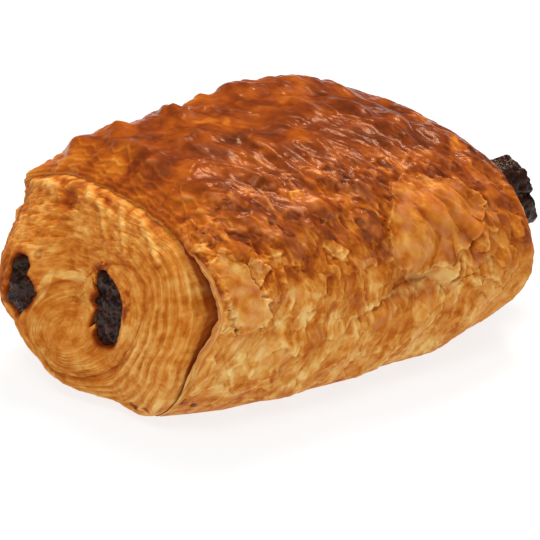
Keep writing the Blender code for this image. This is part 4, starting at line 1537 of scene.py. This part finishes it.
def closed_grid(name, points, fields, tuck, core):
    """A shaped grid, its border drawn in to the tuck and then to the core, so that it is a closed solid."""
    piece = grid_piece(name, points, fields)
    for goal, places in (("tuck", tuck), ("core", core)):
        attribute = piece.data.attributes.new(goal, "FLOAT_VECTOR", "POINT")
        attribute.data.foreach_set("vector", places.astype(np.float32).ravel())
    bpy.ops.object.mode_set(mode="EDIT")
    bpy.ops.mesh.select_mode(type="EDGE")
    bpy.ops.mesh.select_all(action="DESELECT")
    bpy.ops.mesh.select_non_manifold()
    bpy.ops.mesh.mark_sharp()
    for goal in ("tuck", "core"):
        keep = len(piece.data.vertices)
        bpy.ops.mesh.extrude_region_move()
        bpy.ops.object.mode_set(mode="OBJECT")
        draw_in(piece, goal, keep)
        bpy.ops.object.mode_set(mode="EDIT")
    bpy.ops.mesh.select_all(action="SELECT")
    bpy.ops.mesh.remove_doubles(threshold=1e-7)
    bpy.ops.object.mode_set(mode="OBJECT")
    return finish_shape(piece)


def rolled_grid(name, points, fields):
    """A shaped grid rolled round, its seam and poles merged."""
    piece = grid_piece(name, points, fields)
    bpy.ops.object.mode_set(mode="EDIT")
    bpy.ops.mesh.select_all(action="SELECT")
    bpy.ops.mesh.remove_doubles(threshold=1e-8)
    bpy.ops.object.mode_set(mode="OBJECT")
    return finish_shape(piece)


def crust_patch(name, first, last, columns, rows):
    """One patch of the wrap between two turns, with both its lips, closed towards the roll's core."""
    step = np.radians(last - first) / (columns - 1)
    turn = np.radians(first) + step * np.arange(-1, columns + 1)
    far_points, far_surfaces = lip_rows(turn, FAR_END, FAR_LIP_ROWS, FAR_WALL_ROWS, FAR_LIP_SEED)
    near_points, near_surfaces = lip_rows(turn, NEAR_END, LIP_ROWS, WALL_ROWS, NEAR_LIP_SEED)
    body, body_points, body_cores = wrap_rows(turn, rows)
    points = np.array(far_points[::-1] + body_points + near_points)
    cores = np.array([CORE[1]] * len(far_points) + body_cores + [CORE[0]] * len(near_points))

    grid_turn = np.broadcast_to(turn, body.shape)
    grid_s = round_length(grid_turn)
    level = np.array(body_points)[..., 2]
    surface = crust_fields(body / MM, grid_s, grid_turn, level / MM)
    shade_steps(surface, body, grid_s, grid_turn)

    past_near, before_far = (body - NEAR_RIM) / MM, (FAR_RIM - body) / MM
    rims = ease(0.0, RIM_RELIEF_FADE, past_near) * ease(0.0, RIM_RELIEF_FADE, before_far)
    push = np.zeros(points.shape[:2])
    start = len(far_points)
    push[start:start + rows] = surface["relief"] * rims * ease(0.0, BASE_FADE, level) * MM
    points = points + grid_normals(points) * push[..., None]
    points[..., 2] = np.maximum(points[..., 2], 0.0)

    inner = (slice(None), slice(1, -1))
    fields = {}
    for field in FIELDS:
        far_rows = [lip[field] for lip in far_surfaces[::-1]]
        near_rows = [lip[field] for lip in near_surfaces]
        fields[field] = np.array(far_rows + list(surface[field]) + near_rows)[inner]
    core = np.zeros(points.shape)
    core[..., 0] = cores[:, None]
    core[..., 2] = CORE[2]
    return closed_grid(name, points[inner], fields, tucked(points, turn)[inner], core[inner])


def reach_at(angle, outline, middle):
    """How far a star-shaped outline lies from its middle at an angle."""
    points = np.array(outline)
    edge_angle = np.arctan2(points[:, 1] - middle[1], points[:, 0] - middle[0])
    edge_reach = np.hypot(points[:, 0] - middle[0], points[:, 1] - middle[1])
    return np.interp(angle, edge_angle, edge_reach, period=2.0 * np.pi)


def stick_reach(angle, stick, end_name):
    """How far a stick's outline lies from its middle at an angle: ragged near, as the solids' far."""
    if end_name == "near":
        middle = stick["near"][0] / MM, stick["near"][1] / MM
        return reach_at(angle, stick["ragged"], middle) * MM
    across = np.abs(np.cos(angle)) / stick["half_width"]
    up = np.abs(np.sin(angle)) / stick["half_height"]
    return (across ** STICK_POWER + up ** STICK_POWER) ** (-1.0 / STICK_POWER)


def stick_pocket(y, z, end_name):
    """Distance in mm outside the nearer stick's outline at an end, negative inside it."""
    nearest = np.full(y.shape, np.inf)
    for stick in STICKS.values():
        middle_y, middle_z = stick[end_name][0] / MM, stick[end_name][1] / MM
        angle = np.arctan2(z - middle_z, y - middle_y)
        reach = stick_reach(angle, stick, end_name) / MM
        nearest = np.minimum(nearest, np.hypot(y - middle_y, z - middle_z) - reach)
    return nearest


class CoilMap:
    """The near end's coils on their flat view in mm: the inner roll, the outer layers and what they share."""

    def __init__(self, y, z, sunk):
        self.y, self.z = y, z
        angle = np.arctan2(z - LOBE_MIDDLE[1], y - LOBE_MIDDLE[0])
        reach = np.hypot(y - LOBE_MIDDLE[0], z - LOBE_MIDDLE[1])
        inner = reach_at(angle, INNER_ROLL, LOBE_MIDDLE)
        turn = np.linspace(0.0, 2.0 * np.pi, OUTLINE_POINTS, endpoint=False)
        outline = np.stack(coil_outline(turn, NEAR_END), axis=1) / MM
        outer = reach_at(angle, outline, LOBE_MIDDLE)
        outside = np.clip((reach - inner) / (outer - inner), 0.0, OUTERMOST)
        self.inside = reach / inner
        self.in_roll = ease(*INNER_ROLL_EDGE, self.inside)
        self.fold = bell(reach - inner, 0.0, FOLD_HALF)
        self.upper = area(UPPER_AREA, y, z)
        self.core = ease(*CORE_AREA, self.inside)
        self.mottle = texture("near_mottle", y, z)

        broad, fine = NEAR_WARPS
        self.warp = broad * texture("near_warp", y, z) + fine * texture("near_fine_warp", y, z)
        inner_phase = self.inside * INNER_LAYERS + self.warp
        outer_phase = outside * OUTER_LAYERS + self.warp + sunk / WALL_ROLL
        self.layer = inner_phase * self.in_roll + (INNER_LAYERS + outer_phase) * (1.0 - self.in_roll)
        inner_seed, outer_seed = NEAR_LAYER_SEEDS
        self.lines = self.in_roll * layered(inner_seed, inner_phase, y, z, NEAR_FINEST)
        outer_lines = layered(outer_seed, outer_phase, y, z, NEAR_FINEST)
        self.lines = self.lines + (1.0 - self.in_roll) * outer_lines

        turns = outside * OUTER_ROLLS + ROLL_WARP * self.warp + sunk / WALL_ROLL
        even, uneven = ROLL_UNEVEN
        self.rolls = 0.5 + 0.5 * np.cos(2.0 * np.pi * turns)
        self.rolls = self.rolls * (even + uneven * texture("near_rolls", y, z)) * (1.0 - self.in_roll)
        self.rolls = self.rolls * (1.0 - UPPER_ROLLS_LOSS * self.upper)

        start, whole, loss = UPPER_LINES_LOSS
        self.clear = 1.0 - loss * self.upper * ease(start, whole, outside)
        self.clear = self.clear * (1.0 - CORE_LINES_LOSS * self.core)
        self.clear = self.clear * (CLEAR_SHARES[0] + CLEAR_SHARES[1] * patches("near_clear", y, z))
        self.feather = texture("near_feather", y + FEATHER_WARP * self.warp, z + FEATHER_BEND * y * y)

    def spot(self, mark):
        """1 at a mark's middle, 0 outside its leaning oval."""
        middle_y, middle_z, half_y, half_z, lean = mark
        turned = np.radians(lean)
        across = (self.y - middle_y) * np.cos(turned) + (self.z - middle_z) * np.sin(turned)
        up = (self.z - middle_z) * np.cos(turned) - (self.y - middle_y) * np.sin(turned)
        return dome(across, up, half_y, half_z)


def near_folds(coil):
    """The folds under the near rim: their relief in mm, their crests and the painted shade on their sides."""
    relief, fold_crests, sides = 0.0, 0.0, 0.0
    warped, mottled = FOLD_LINE_WARP
    for line, height, half, shade in FOLD_LINES:
        away = line_distance(coil.y + warped * coil.warp + mottled * coil.mottle, coil.z + coil.warp, line)
        fold_crests = fold_crests + bell(away, 0.0, half)
        # Painted shade on the folds' sides
        sides = sides + shade * bell(away, *FOLD_SIDE)
        relief = relief + height * bell(away, 0.0, half)
    return relief, fold_crests, sides * patches("near_fold_side", coil.y, coil.z)


def near_smear(coil, around):
    """Brown smears: close round the sticks, and in ragged marks beside them."""
    smear = bell(np.clip(around, 0.0, None), 0.0, SMEAR_HALF)
    for mark in SMEARS:
        smear = smear + ease(*SMEAR_EDGE, coil.spot(mark)) * patches("near_smear", coil.y, coil.z)
    return np.clip(smear, 0.0, 1.0)


def weighed(weights, values):
    """The sum of the values that have a weight, each times its own."""
    return sum(weight * values[name] for name, weight in weights.items() if name in values)


def near_features(coil, around):
    """The near end's marks and other features, by name, each 0 to 1."""
    features = {name: ease(*edge, coil.spot(mark)) for name, (mark, edge) in NEAR_MARKS.items()}
    features["bump"] = coil.spot(LIGHT_BUMP)
    features["pocket"] = ease(*POCKET_EDGE, around)
    features["smear"] = near_smear(coil, around)
    return features


def near_relief(coil, features, around):
    """The near end's relief in mm, but for its folds under the rim."""
    risen = {
        "lines": coil.lines * coil.clear,
        "rolls": coil.rolls,
        "inner_roll": coil.in_roll * ease(*INNER_ROLL_ROUND, coil.inside),
        "feather": coil.upper * coil.feather,
        "mottle": coil.mottle,
        "core": coil.core * coil.mottle,
        "fold": coil.fold * (1.0 - UPPER_FOLD_LOSS[0] * coil.upper),
        "swollen": bell(around, *SWOLLEN_RIM),
    }
    return weighed(NEAR_RISES, {**features, **risen})


def near_toast(coil, features, fold_crests, sides):
    """How brown the near end is."""
    low = area(LOW_AREA, coil.y, coil.z)
    toned = {
        "lines": (coil.lines - LINES_MEAN) * coil.clear,
        "mottle": coil.mottle,
        "rolls": coil.rolls - ROLLS_MEAN * (1.0 - coil.in_roll),
        "clouds": texture("near_clouds", coil.y, coil.z),
        "specks": texture("near_specks", coil.y, coil.z),
        "feather": coil.upper * coil.feather,
        "fold": coil.fold,
        "yellow_mottle": coil.mottle * features["yellow"],
        "low": low,
        "low_rolls": low * coil.rolls,
        "crests": fold_crests,
        "sides": sides,
        "red": coil.spot(RED_SPOT),
        "pale": area(PALE_AREA, coil.y, coil.z),
        "burn": sum(ease(*FOOT_BURN_EDGE, coil.spot(mark)) for mark in FOOT_BURNS),
    }
    return NEAR_TOAST + weighed(NEAR_TONES, {**features, **toned})


def near_coil_fields(y, z, steps, sunk, behind):
    """Surface values of the near end's coils, from its flat view in mm."""
    coil = CoilMap(y, z, sunk)
    around = stick_pocket(y, z, "near")
    folded, fold_crests, sides = near_folds(coil)
    features = near_features(coil, around)
    # Painted shade in the folds, in the sunk gap behind the rim and on the folds' sides
    painted_shade = {
        "fold": coil.fold * (1.0 - UPPER_FOLD_LOSS[1] * coil.upper),
        "shaded": ease(*BEHIND_RIM, behind) * ease(*SUNK_SHADE, sunk),
        "sides": sides,
    }
    # Painted sheen on the upper area
    start, whole, strength = UPPER_SHEEN
    return {
        "relief": folded + near_relief(coil, features, around),
        "toast": near_toast(coil, features, fold_crests, sides),
        "glaze": SMEAR_GLAZE * features["smear"],
        "crease": np.clip(weighed(NEAR_SHADE_AND_SMEAR, {**features, **painted_shade}), 0.0, 1.0),
        "bloom": strength * ease(start, whole, coil.mottle) * coil.upper,
        "layer": coil.layer,
    }


def far_coil_fields(y, z, steps, sunk, behind):
    """The same for the far end, whose coils are flatter and follow its outline."""
    broad, fine = FAR_WARPS
    warp = broad * texture("far_warp", y, z) + fine * texture("far_fine_warp", y, z)
    seed, count, finest = FAR_LAYERS
    layer = steps * count + warp
    lines = layered(seed, layer, y, z, finest)
    mottle = texture("far_mottle", y, z)
    seed, count, warped, reach, sharp = FAR_ROLLS
    rolls = noise(seed, steps * count + warped * warp, y / reach, z / reach)
    rolls = np.clip(1.0 - sharp * np.abs(rolls), 0.0, 1.0)
    around = stick_pocket(y, z, "far")
    pocket = ease(*FAR_POCKET_EDGE, around)
    smear = bell(np.clip(around, 0.0, None), 0.0, SMEAR_HALF)
    # Painted shade in the sunk gap and the stick pockets; the smear's darker colour is the chocolate's own
    shaded = ease(*BEHIND_RIM, behind) * ease(*FAR_SUNK_SHADE, sunk)
    features = (lines, rolls, mottle, pocket)
    toned = (lines - LINES_MEAN, rolls, mottle, smear)
    return {
        "relief": sum(rise * value for rise, value in zip(FAR_RISES, features)),
        "toast": FAR_TOAST + sum(change * value for change, value in zip(FAR_TONES, toned)),
        "glaze": 0.0 * y,
        "crease": np.clip(shaded + FAR_SHADE_AND_SMEAR[0] * pocket + FAR_SHADE_AND_SMEAR[1] * smear, 0.0, 1.0),
        "bloom": 0.0 * y,
        "layer": layer,
    }


def coil_sector(name, end, turns, grid, gap_start, fields):
    """A sector of an end's coils: over its face and down the gap's inner wall, closed inside the roll."""
    columns, rows = grid
    first, last = np.radians(turns)
    turn = first + (last - first) / (columns - 1) * np.arange(-1, columns + 1)
    edge_y, edge_z = coil_outline(turn, end)
    _, _, depth = edge_sizes(turn, end)
    middle_y, middle_z = end["middle"]
    steps = np.linspace(0.0, 1.0, rows)
    y = middle_y + steps[:, None] * (edge_y - middle_y)
    z = middle_z + steps[:, None] * (edge_z - middle_z)
    if end is NEAR_END:
        depth = depth * (1.0 - stepped_share(turn))
    sunk = depth * ease(gap_start, 1.0, steps)[:, None]
    x = face_x(y, z, end) - end["side"] * sunk
    points = np.stack([x, y, z], axis=-1)
    behind = end["side"] * (end["rim"] + rim_shift(turn, end) - x)
    surface = fields(y / MM, z / MM, np.broadcast_to(steps[:, None], y.shape), sunk / MM, behind / MM)
    normals = grid_normals(points)
    normals[0] = (end["side"], 0.0, 0.0)
    fade = ease(0.0, COIL_BASE_FADE, z) * ease(1.0, COIL_EDGE_FADE, steps)[:, None]
    points = points + normals * (surface["relief"] * fade * MM)[..., None]
    tail = points[-1:].copy()
    tail[..., 0] = tail[..., 0] - end["side"] * COIL_TAIL
    points = np.concatenate([points, tail])
    points[..., 2] = np.maximum(points[..., 2], 0.0)
    inner = (slice(None), slice(1, -1))
    values = {field: np.concatenate([surface[field], surface[field][-1:]])[inner] for field in FIELDS}
    core_x = CORE[0] if end is NEAR_END else CORE[1]
    core = np.broadcast_to((core_x, 0.0, CORE[2]), points[inner].shape)
    return closed_grid(name, points[inner], values, points[inner], core)


def stick_outline(stick, turn, x, grow):
    """A stick's outline at x, grown from its middle: ragged near the near end, as the solids' elsewhere."""
    share = roll_share(x)
    middle_y = stick["near"][0] + (stick["far"][0] - stick["near"][0]) * share
    middle_z = stick["near"][1] + (stick["far"][1] - stick["near"][1]) * share
    rough = ease(ROUGH_SHARE, 0.0, share)
    reach = stick_reach(turn, stick, "near") * rough + stick_reach(turn, stick, "far") * (1.0 - rough)
    y, z = grow * reach * np.cos(turn), grow * reach * np.sin(turn)
    lean = stick["lean"] * ease(*STICK_LEAN_SINES, np.sin(turn)) * (1.0 - rough)
    return middle_y + y, middle_z + z + lean * y


def stick_points(stick, turn):
    """Rings of points over a stick's near cap, along its side and over its far cap."""
    near_y, near_z = stick_outline(stick, turn, NEAR_RIM, 1.0)
    far_y, far_z = stick_outline(stick, turn, FAR_RIM, 1.0)
    start = face_x(near_y, near_z, NEAR_END) + NEAR_CAP_SINK
    if stick["stands_out"]:
        stop = stick["stands_out"] - STICK_SLANT * (far_z - stick["far"][1])
    else:
        stop = face_x(far_y, far_z, FAR_END) + FAR_CAP_OUT
    rings = []
    for grow in np.linspace(0.0, 1.0, CAP_RINGS)[:-1]:
        y, z = stick_outline(stick, turn, NEAR_RIM, grow)
        x = face_x(y, z, NEAR_END) + NEAR_CAP_SINK - NEAR_CAP_DISH * (1.0 - grow ** 4)
        rings.append(np.stack([x, y, z], axis=-1))
    for first, last, count in STICK_SHARES:
        for share in np.linspace(first, last, count, endpoint=last == 1.0):
            y, z = stick_outline(stick, turn, NEAR_RIM + (FAR_RIM - NEAR_RIM) * share, 1.0)
            rings.append(np.stack([start + (stop - start) * share, y, z], axis=-1))
    for grow in np.linspace(1.0, 0.0, CAP_RINGS)[1:]:
        y, z = stick_outline(stick, turn, FAR_RIM, grow)
        slanted = stop.mean() - STICK_SLANT * (z - z.mean())
        x = slanted if stick["stands_out"] else face_x(y, z, FAR_END) + FAR_CAP_OUT
        rings.append(np.stack([x + FAR_CAP_BULGE * (1.0 - grow ** 6), y, z], axis=-1))
    return np.array(rings)


def chocolate_stick(name, stick):
    """A baking stick: ragged and lumpy where it shows at the near end, a broken block where it stands out."""
    seed = stick["seed"]
    turn = np.linspace(0.0, 2.0 * np.pi, STICK_COLUMNS + 1)
    points = stick_points(stick, turn)
    normal = unit_normals(points)
    normal = normal * np.sign(np.sum(normal * (points - points.mean(axis=(0, 1)))))
    x, y, z = np.moveaxis(points / MM, -1, 0)
    block, smoother = SMOOTHER_BLOCK
    lumps = fractal(seed, 2, x / LUMP_SIZE, y / LUMP_SIZE, z / LUMP_SIZE) * (1.0 - smoother * ease(*block, x))
    grit = 1.0 - 2.0 * np.abs(fractal(seed + 9, 2, x / GRIT_SIZE, y / GRIT_SIZE, z / GRIT_SIZE))
    level, half, deep = CHUNK_STEP
    notch = bell(z + CHUNK_STEP_RAGGED * lumps, level, half) * ease(*CHUNK_STEP_X, x)
    push = LUMP_RISE * lumps + GRIT_RISE * (grit - 0.5) - deep * notch
    points = points + normal * (push * MM)[..., None]
    points[:, -1] = points[:, 0]
    points[0] = points[0].mean(axis=0)
    points[-1] = points[-1].mean(axis=0)
    grit[:, -1] = grit[:, 0]
    return rolled_grid(name, points, {"grit": grit})


class Socket:
    """One output of a finish's node tree; arithmetic on it adds Math nodes."""

    def __init__(self, finish, output):
        self.finish = finish
        self.output = output

    def maths(self, operation, first, second):
        return self.finish.node("ShaderNodeMath", {"operation": operation}, {0: first, 1: second})

    def __add__(self, other):
        return self.maths("ADD", self, other)

    def __radd__(self, other):
        return self.maths("ADD", other, self)

    def __sub__(self, other):
        return self.maths("SUBTRACT", self, other)

    def __rsub__(self, other):
        return self.maths("SUBTRACT", other, self)

    def __mul__(self, other):
        return self.maths("MULTIPLY", self, other)

    def __rmul__(self, other):
        return self.maths("MULTIPLY", other, self)


class Finish:
    """A material built from nodes around its Principled shader."""

    def __init__(self, name):
        self.material = bpy.data.materials.new(name)
        self.material.use_nodes = True
        self.tree = self.material.node_tree
        self.shader = self.tree.nodes["Principled BSDF"]

    def node(self, kind, settings=None, sockets=None, output=0):
        """Any node: its settings are set first, then its sockets are given values or links."""
        node = self.tree.nodes.new(kind)
        for name, value in (settings or {}).items():
            if name == "stops":
                self.set_stops(node.color_ramp, value)
            else:
                setattr(node, name, value)
        for name, value in (sockets or {}).items():
            self.feed(node.inputs[name], value)
        return Socket(self, node.outputs[output])

    def feed(self, target, value):
        if isinstance(value, Socket):
            self.tree.links.new(value.output, target)
        else:
            target.default_value = value

    def set_stops(self, ramp, stops):
        ramp.interpolation = "LINEAR"
        while len(ramp.elements) < len(stops):
            ramp.elements.new(1.0)
        for element, (place, colour) in zip(ramp.elements, stops):
            element.position = place
            element.color = (*colour, 1.0)

    def attribute(self, name):
        return self.node("ShaderNodeAttribute", {"attribute_name": name}, output="Fac")

    def noise(self, size, detail, rough):
        """Noise whose features are about size metres across."""
        place = self.node("ShaderNodeTexCoord", output="Object")
        sockets = {"Vector": place, "Scale": 1.0 / size, "Detail": detail, "Roughness": rough}
        return self.node("ShaderNodeTexNoise", None, sockets)

    def layers(self, spacing, reach):
        """Noise drawn out along the dough's layers: spacing in their own count, reach in metres."""
        place = self.node("ShaderNodeTexCoord", output="Object")
        spread = self.node("ShaderNodeVectorMath", {"operation": "SCALE"}, {0: place, "Scale": 1.0 / reach})
        sockets = {"Vector": spread, "W": self.attribute("layer") * (1.0 / spacing), "Scale": 1.0}
        return self.node("ShaderNodeTexNoise", {"noise_dimensions": "4D"}, sockets)

    def mix(self, share, first, second):
        settings = {"data_type": "RGBA", "blend_type": "MIX"}
        return self.node("ShaderNodeMix", settings, {0: share, 6: first, 7: second}, output=2)

    def bump(self, height, distance):
        return self.node("ShaderNodeBump", None, {"Height": height, "Distance": distance})

    def set(self, **values):
        for name, value in values.items():
            self.feed(self.shader.inputs[name.replace("_", " ")], value)


def crust_finish(name, streaks):
    """Baked dough: toast sets its tone, glaze its shine, painted shade darkens its creases and hollows (and
    marks its chocolate smears), and a painted sheen tints it dull pink.
    """
    finish = Finish(name)
    toast = finish.attribute("toast")
    glaze = finish.attribute("glaze")
    crease = finish.attribute("crease")
    bloom = finish.attribute("bloom")
    grain = finish.noise(*CRUST_GRAIN)
    specks = finish.noise(*CRUST_SPECKS)
    thin = finish.layers(*THIN_LAYERS)
    hair = finish.layers(*HAIR_LAYERS)
    tone = toast + (grain - 0.5) * GRAIN_TONE + (specks - 0.5) * SPECKS_TONE
    tone = tone + (thin - 0.5) * streaks + (hair - 0.5) * (HAIR_STREAKS * streaks)
    colour = finish.node("ShaderNodeValToRGB", {"stops": CRUST_TONES}, {"Fac": tone})
    # Painted sheen: a pale mauve laid over the tone where the glaze would reflect the light
    colour = finish.mix(bloom * SHEEN_COVER, colour, SHEEN_COLOUR)
    # Painted shade: creases, grooves, hollows and gaps darkened towards the shade colour, which the chocolate
    # smears also use
    colour = finish.mix(crease * SHADE_AND_SMEAR_COVER, colour, SHADE_AND_SMEAR_COLOUR)
    thin_share, hair_share, grain_share = BUMP_SHARES
    height = thin * thin_share + hair * hair_share + grain * grain_share
    finish.set(
        Base_Color=colour,
        Roughness=DULL - glaze * GLAZE_SMOOTHS + (grain - 0.5) * GRAIN_ROUGHENS,
        Normal=finish.bump(height, BUMP_HEIGHT * (streaks + PLAIN_BUMP)),
        Specular_IOR_Level=CRUST_SPECULAR,
        Specular_Tint=CRUST_SPECULAR_TINT,
    )
    return finish.material


def chocolate_finish():
    """Dark chocolate, duller and lighter where its grit stands out."""
    finish = Finish("dark_chocolate")
    grit = finish.attribute("grit")
    grain = finish.noise(*CHOCOLATE_GRAIN)
    bits = finish.noise(*CHOCOLATE_BITS)
    colour = finish.node("ShaderNodeValToRGB", {"stops": CHOCOLATE_TONES}, {"Fac": grain + grit * GRIT_TONE})
    grain_share, bits_share = CHOCOLATE_BUMP_SHARES
    finish.set(
        Base_Color=colour,
        Roughness=CHOCOLATE_ROUGH - (grain - 0.5) * CHOCOLATE_UNEVEN,
        Normal=finish.bump(grain * grain_share + bits * bits_share, CHOCOLATE_BUMP),
        Specular_IOR_Level=CHOCOLATE_SPECULAR,
    )
    return finish.material


def floor_and_light():
    bpy.ops.mesh.primitive_plane_add(size=6.0)
    floor = bpy.context.object
    floor.name = "floor"
    finish = Finish("pale_floor")
    finish.set(
        Base_Color=(0.20, 0.20, 0.20, 1.0),
        Roughness=0.85,
        Specular_IOR_Level=0.0,
        Emission_Color=(1.0, 1.0, 1.0, 1.0),
        Emission_Strength=FLOOR_GLOW,
    )
    floor.data.materials.append(finish.material)
    floor.select_set(False)

    world = bpy.data.worlds.new("studio")
    world.use_nodes = True
    nodes, links = world.node_tree.nodes, world.node_tree.links
    background = nodes["Background"]
    background.inputs["Color"].default_value = (1.0, 1.0, 1.0, 1.0)
    path = nodes.new("ShaderNodeLightPath")
    strength = nodes.new("ShaderNodeMapRange")
    strength.inputs["To Min"].default_value = ROOM_LIGHT
    strength.inputs["To Max"].default_value = ROOM_REFLECTION
    links.new(path.outputs["Is Glossy Ray"], strength.inputs["Value"])
    links.new(strength.outputs["Result"], background.inputs["Strength"])
    bpy.context.scene.world = world
    for name, place, size, power, colour, glossy in LIGHTS:
        bpy.ops.object.light_add(type="AREA", location=place)
        light = bpy.context.object
        light.name = name
        light.data.size = size
        light.data.energy = power
        light.data.color = colour
        light.visible_glossy = glossy
        aim = Vector((0.0, 0.0, 0.02)) - Vector(place)
        light.rotation_euler = aim.to_track_quat("-Z", "Y").to_euler()
        light.select_set(False)


def aim_camera():
    heading, height = np.radians(VIEW_HEADING), np.radians(VIEW_HEIGHT)
    forward = Vector((np.sin(heading) * np.cos(height), np.cos(heading) * np.cos(height), -np.sin(height)))
    place = forward * -VIEW_DISTANCE
    bpy.ops.object.camera_add(location=place)
    camera = bpy.context.object
    camera.name = "camera"
    camera.rotation_euler = (Vector(VIEW_TARGET) - place).to_track_quat("-Z", "Y").to_euler()
    camera.data.sensor_width = SENSOR
    camera.data.lens = LENS
    camera.data.clip_start = 0.01
    bpy.context.scene.camera = camera
    camera.select_set(False)


COIL_ENDS = {
    "near": (NEAR_END, NEAR_COIL_GRID, NEAR_GAP_START_STEP, near_coil_fields),
    "far": (FAR_END, FAR_COIL_GRID, GAP_START_STEP, far_coil_fields),
}

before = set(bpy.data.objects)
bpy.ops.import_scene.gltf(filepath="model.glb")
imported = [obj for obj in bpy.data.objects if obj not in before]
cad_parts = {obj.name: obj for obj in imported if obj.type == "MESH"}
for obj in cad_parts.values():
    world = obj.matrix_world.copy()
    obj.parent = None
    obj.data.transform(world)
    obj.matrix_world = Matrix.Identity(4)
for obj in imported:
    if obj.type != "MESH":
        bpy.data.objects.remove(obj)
bpy.ops.object.select_all(action="DESELECT")
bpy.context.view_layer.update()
bpy.context.scene.view_settings.view_transform = "Standard"

aim_camera()
floor_and_light()
crust = crust_finish("baked_crust", CRUST_STREAKS)
coils = crust_finish("baked_coils", COIL_STREAKS)
chocolate = chocolate_finish()

pieces = []
for patch, (first, last, columns, rows) in PATCHES.items():
    pieces.append((crust_patch(patch, first, last, columns, rows), crust, "pastry", "pastry_crust"))
for sector, turns in COIL_SECTORS.items():
    for end_name, (end, grid, gap_start, fields) in COIL_ENDS.items():
        piece = coil_sector("coils_" + end_name + "_" + sector, end, turns, grid, gap_start, fields)
        pieces.append((piece, coils, "pastry", "pastry_crust"))
for side, stick in STICKS.items():
    piece = chocolate_stick("stick_" + side, stick)
    pieces.append((piece, chocolate, "chocolate_stick_" + side, "chocolate"))
for piece, material, node, slot in pieces:
    piece.data.materials.append(material)
    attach(piece, "root")
    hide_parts(node)
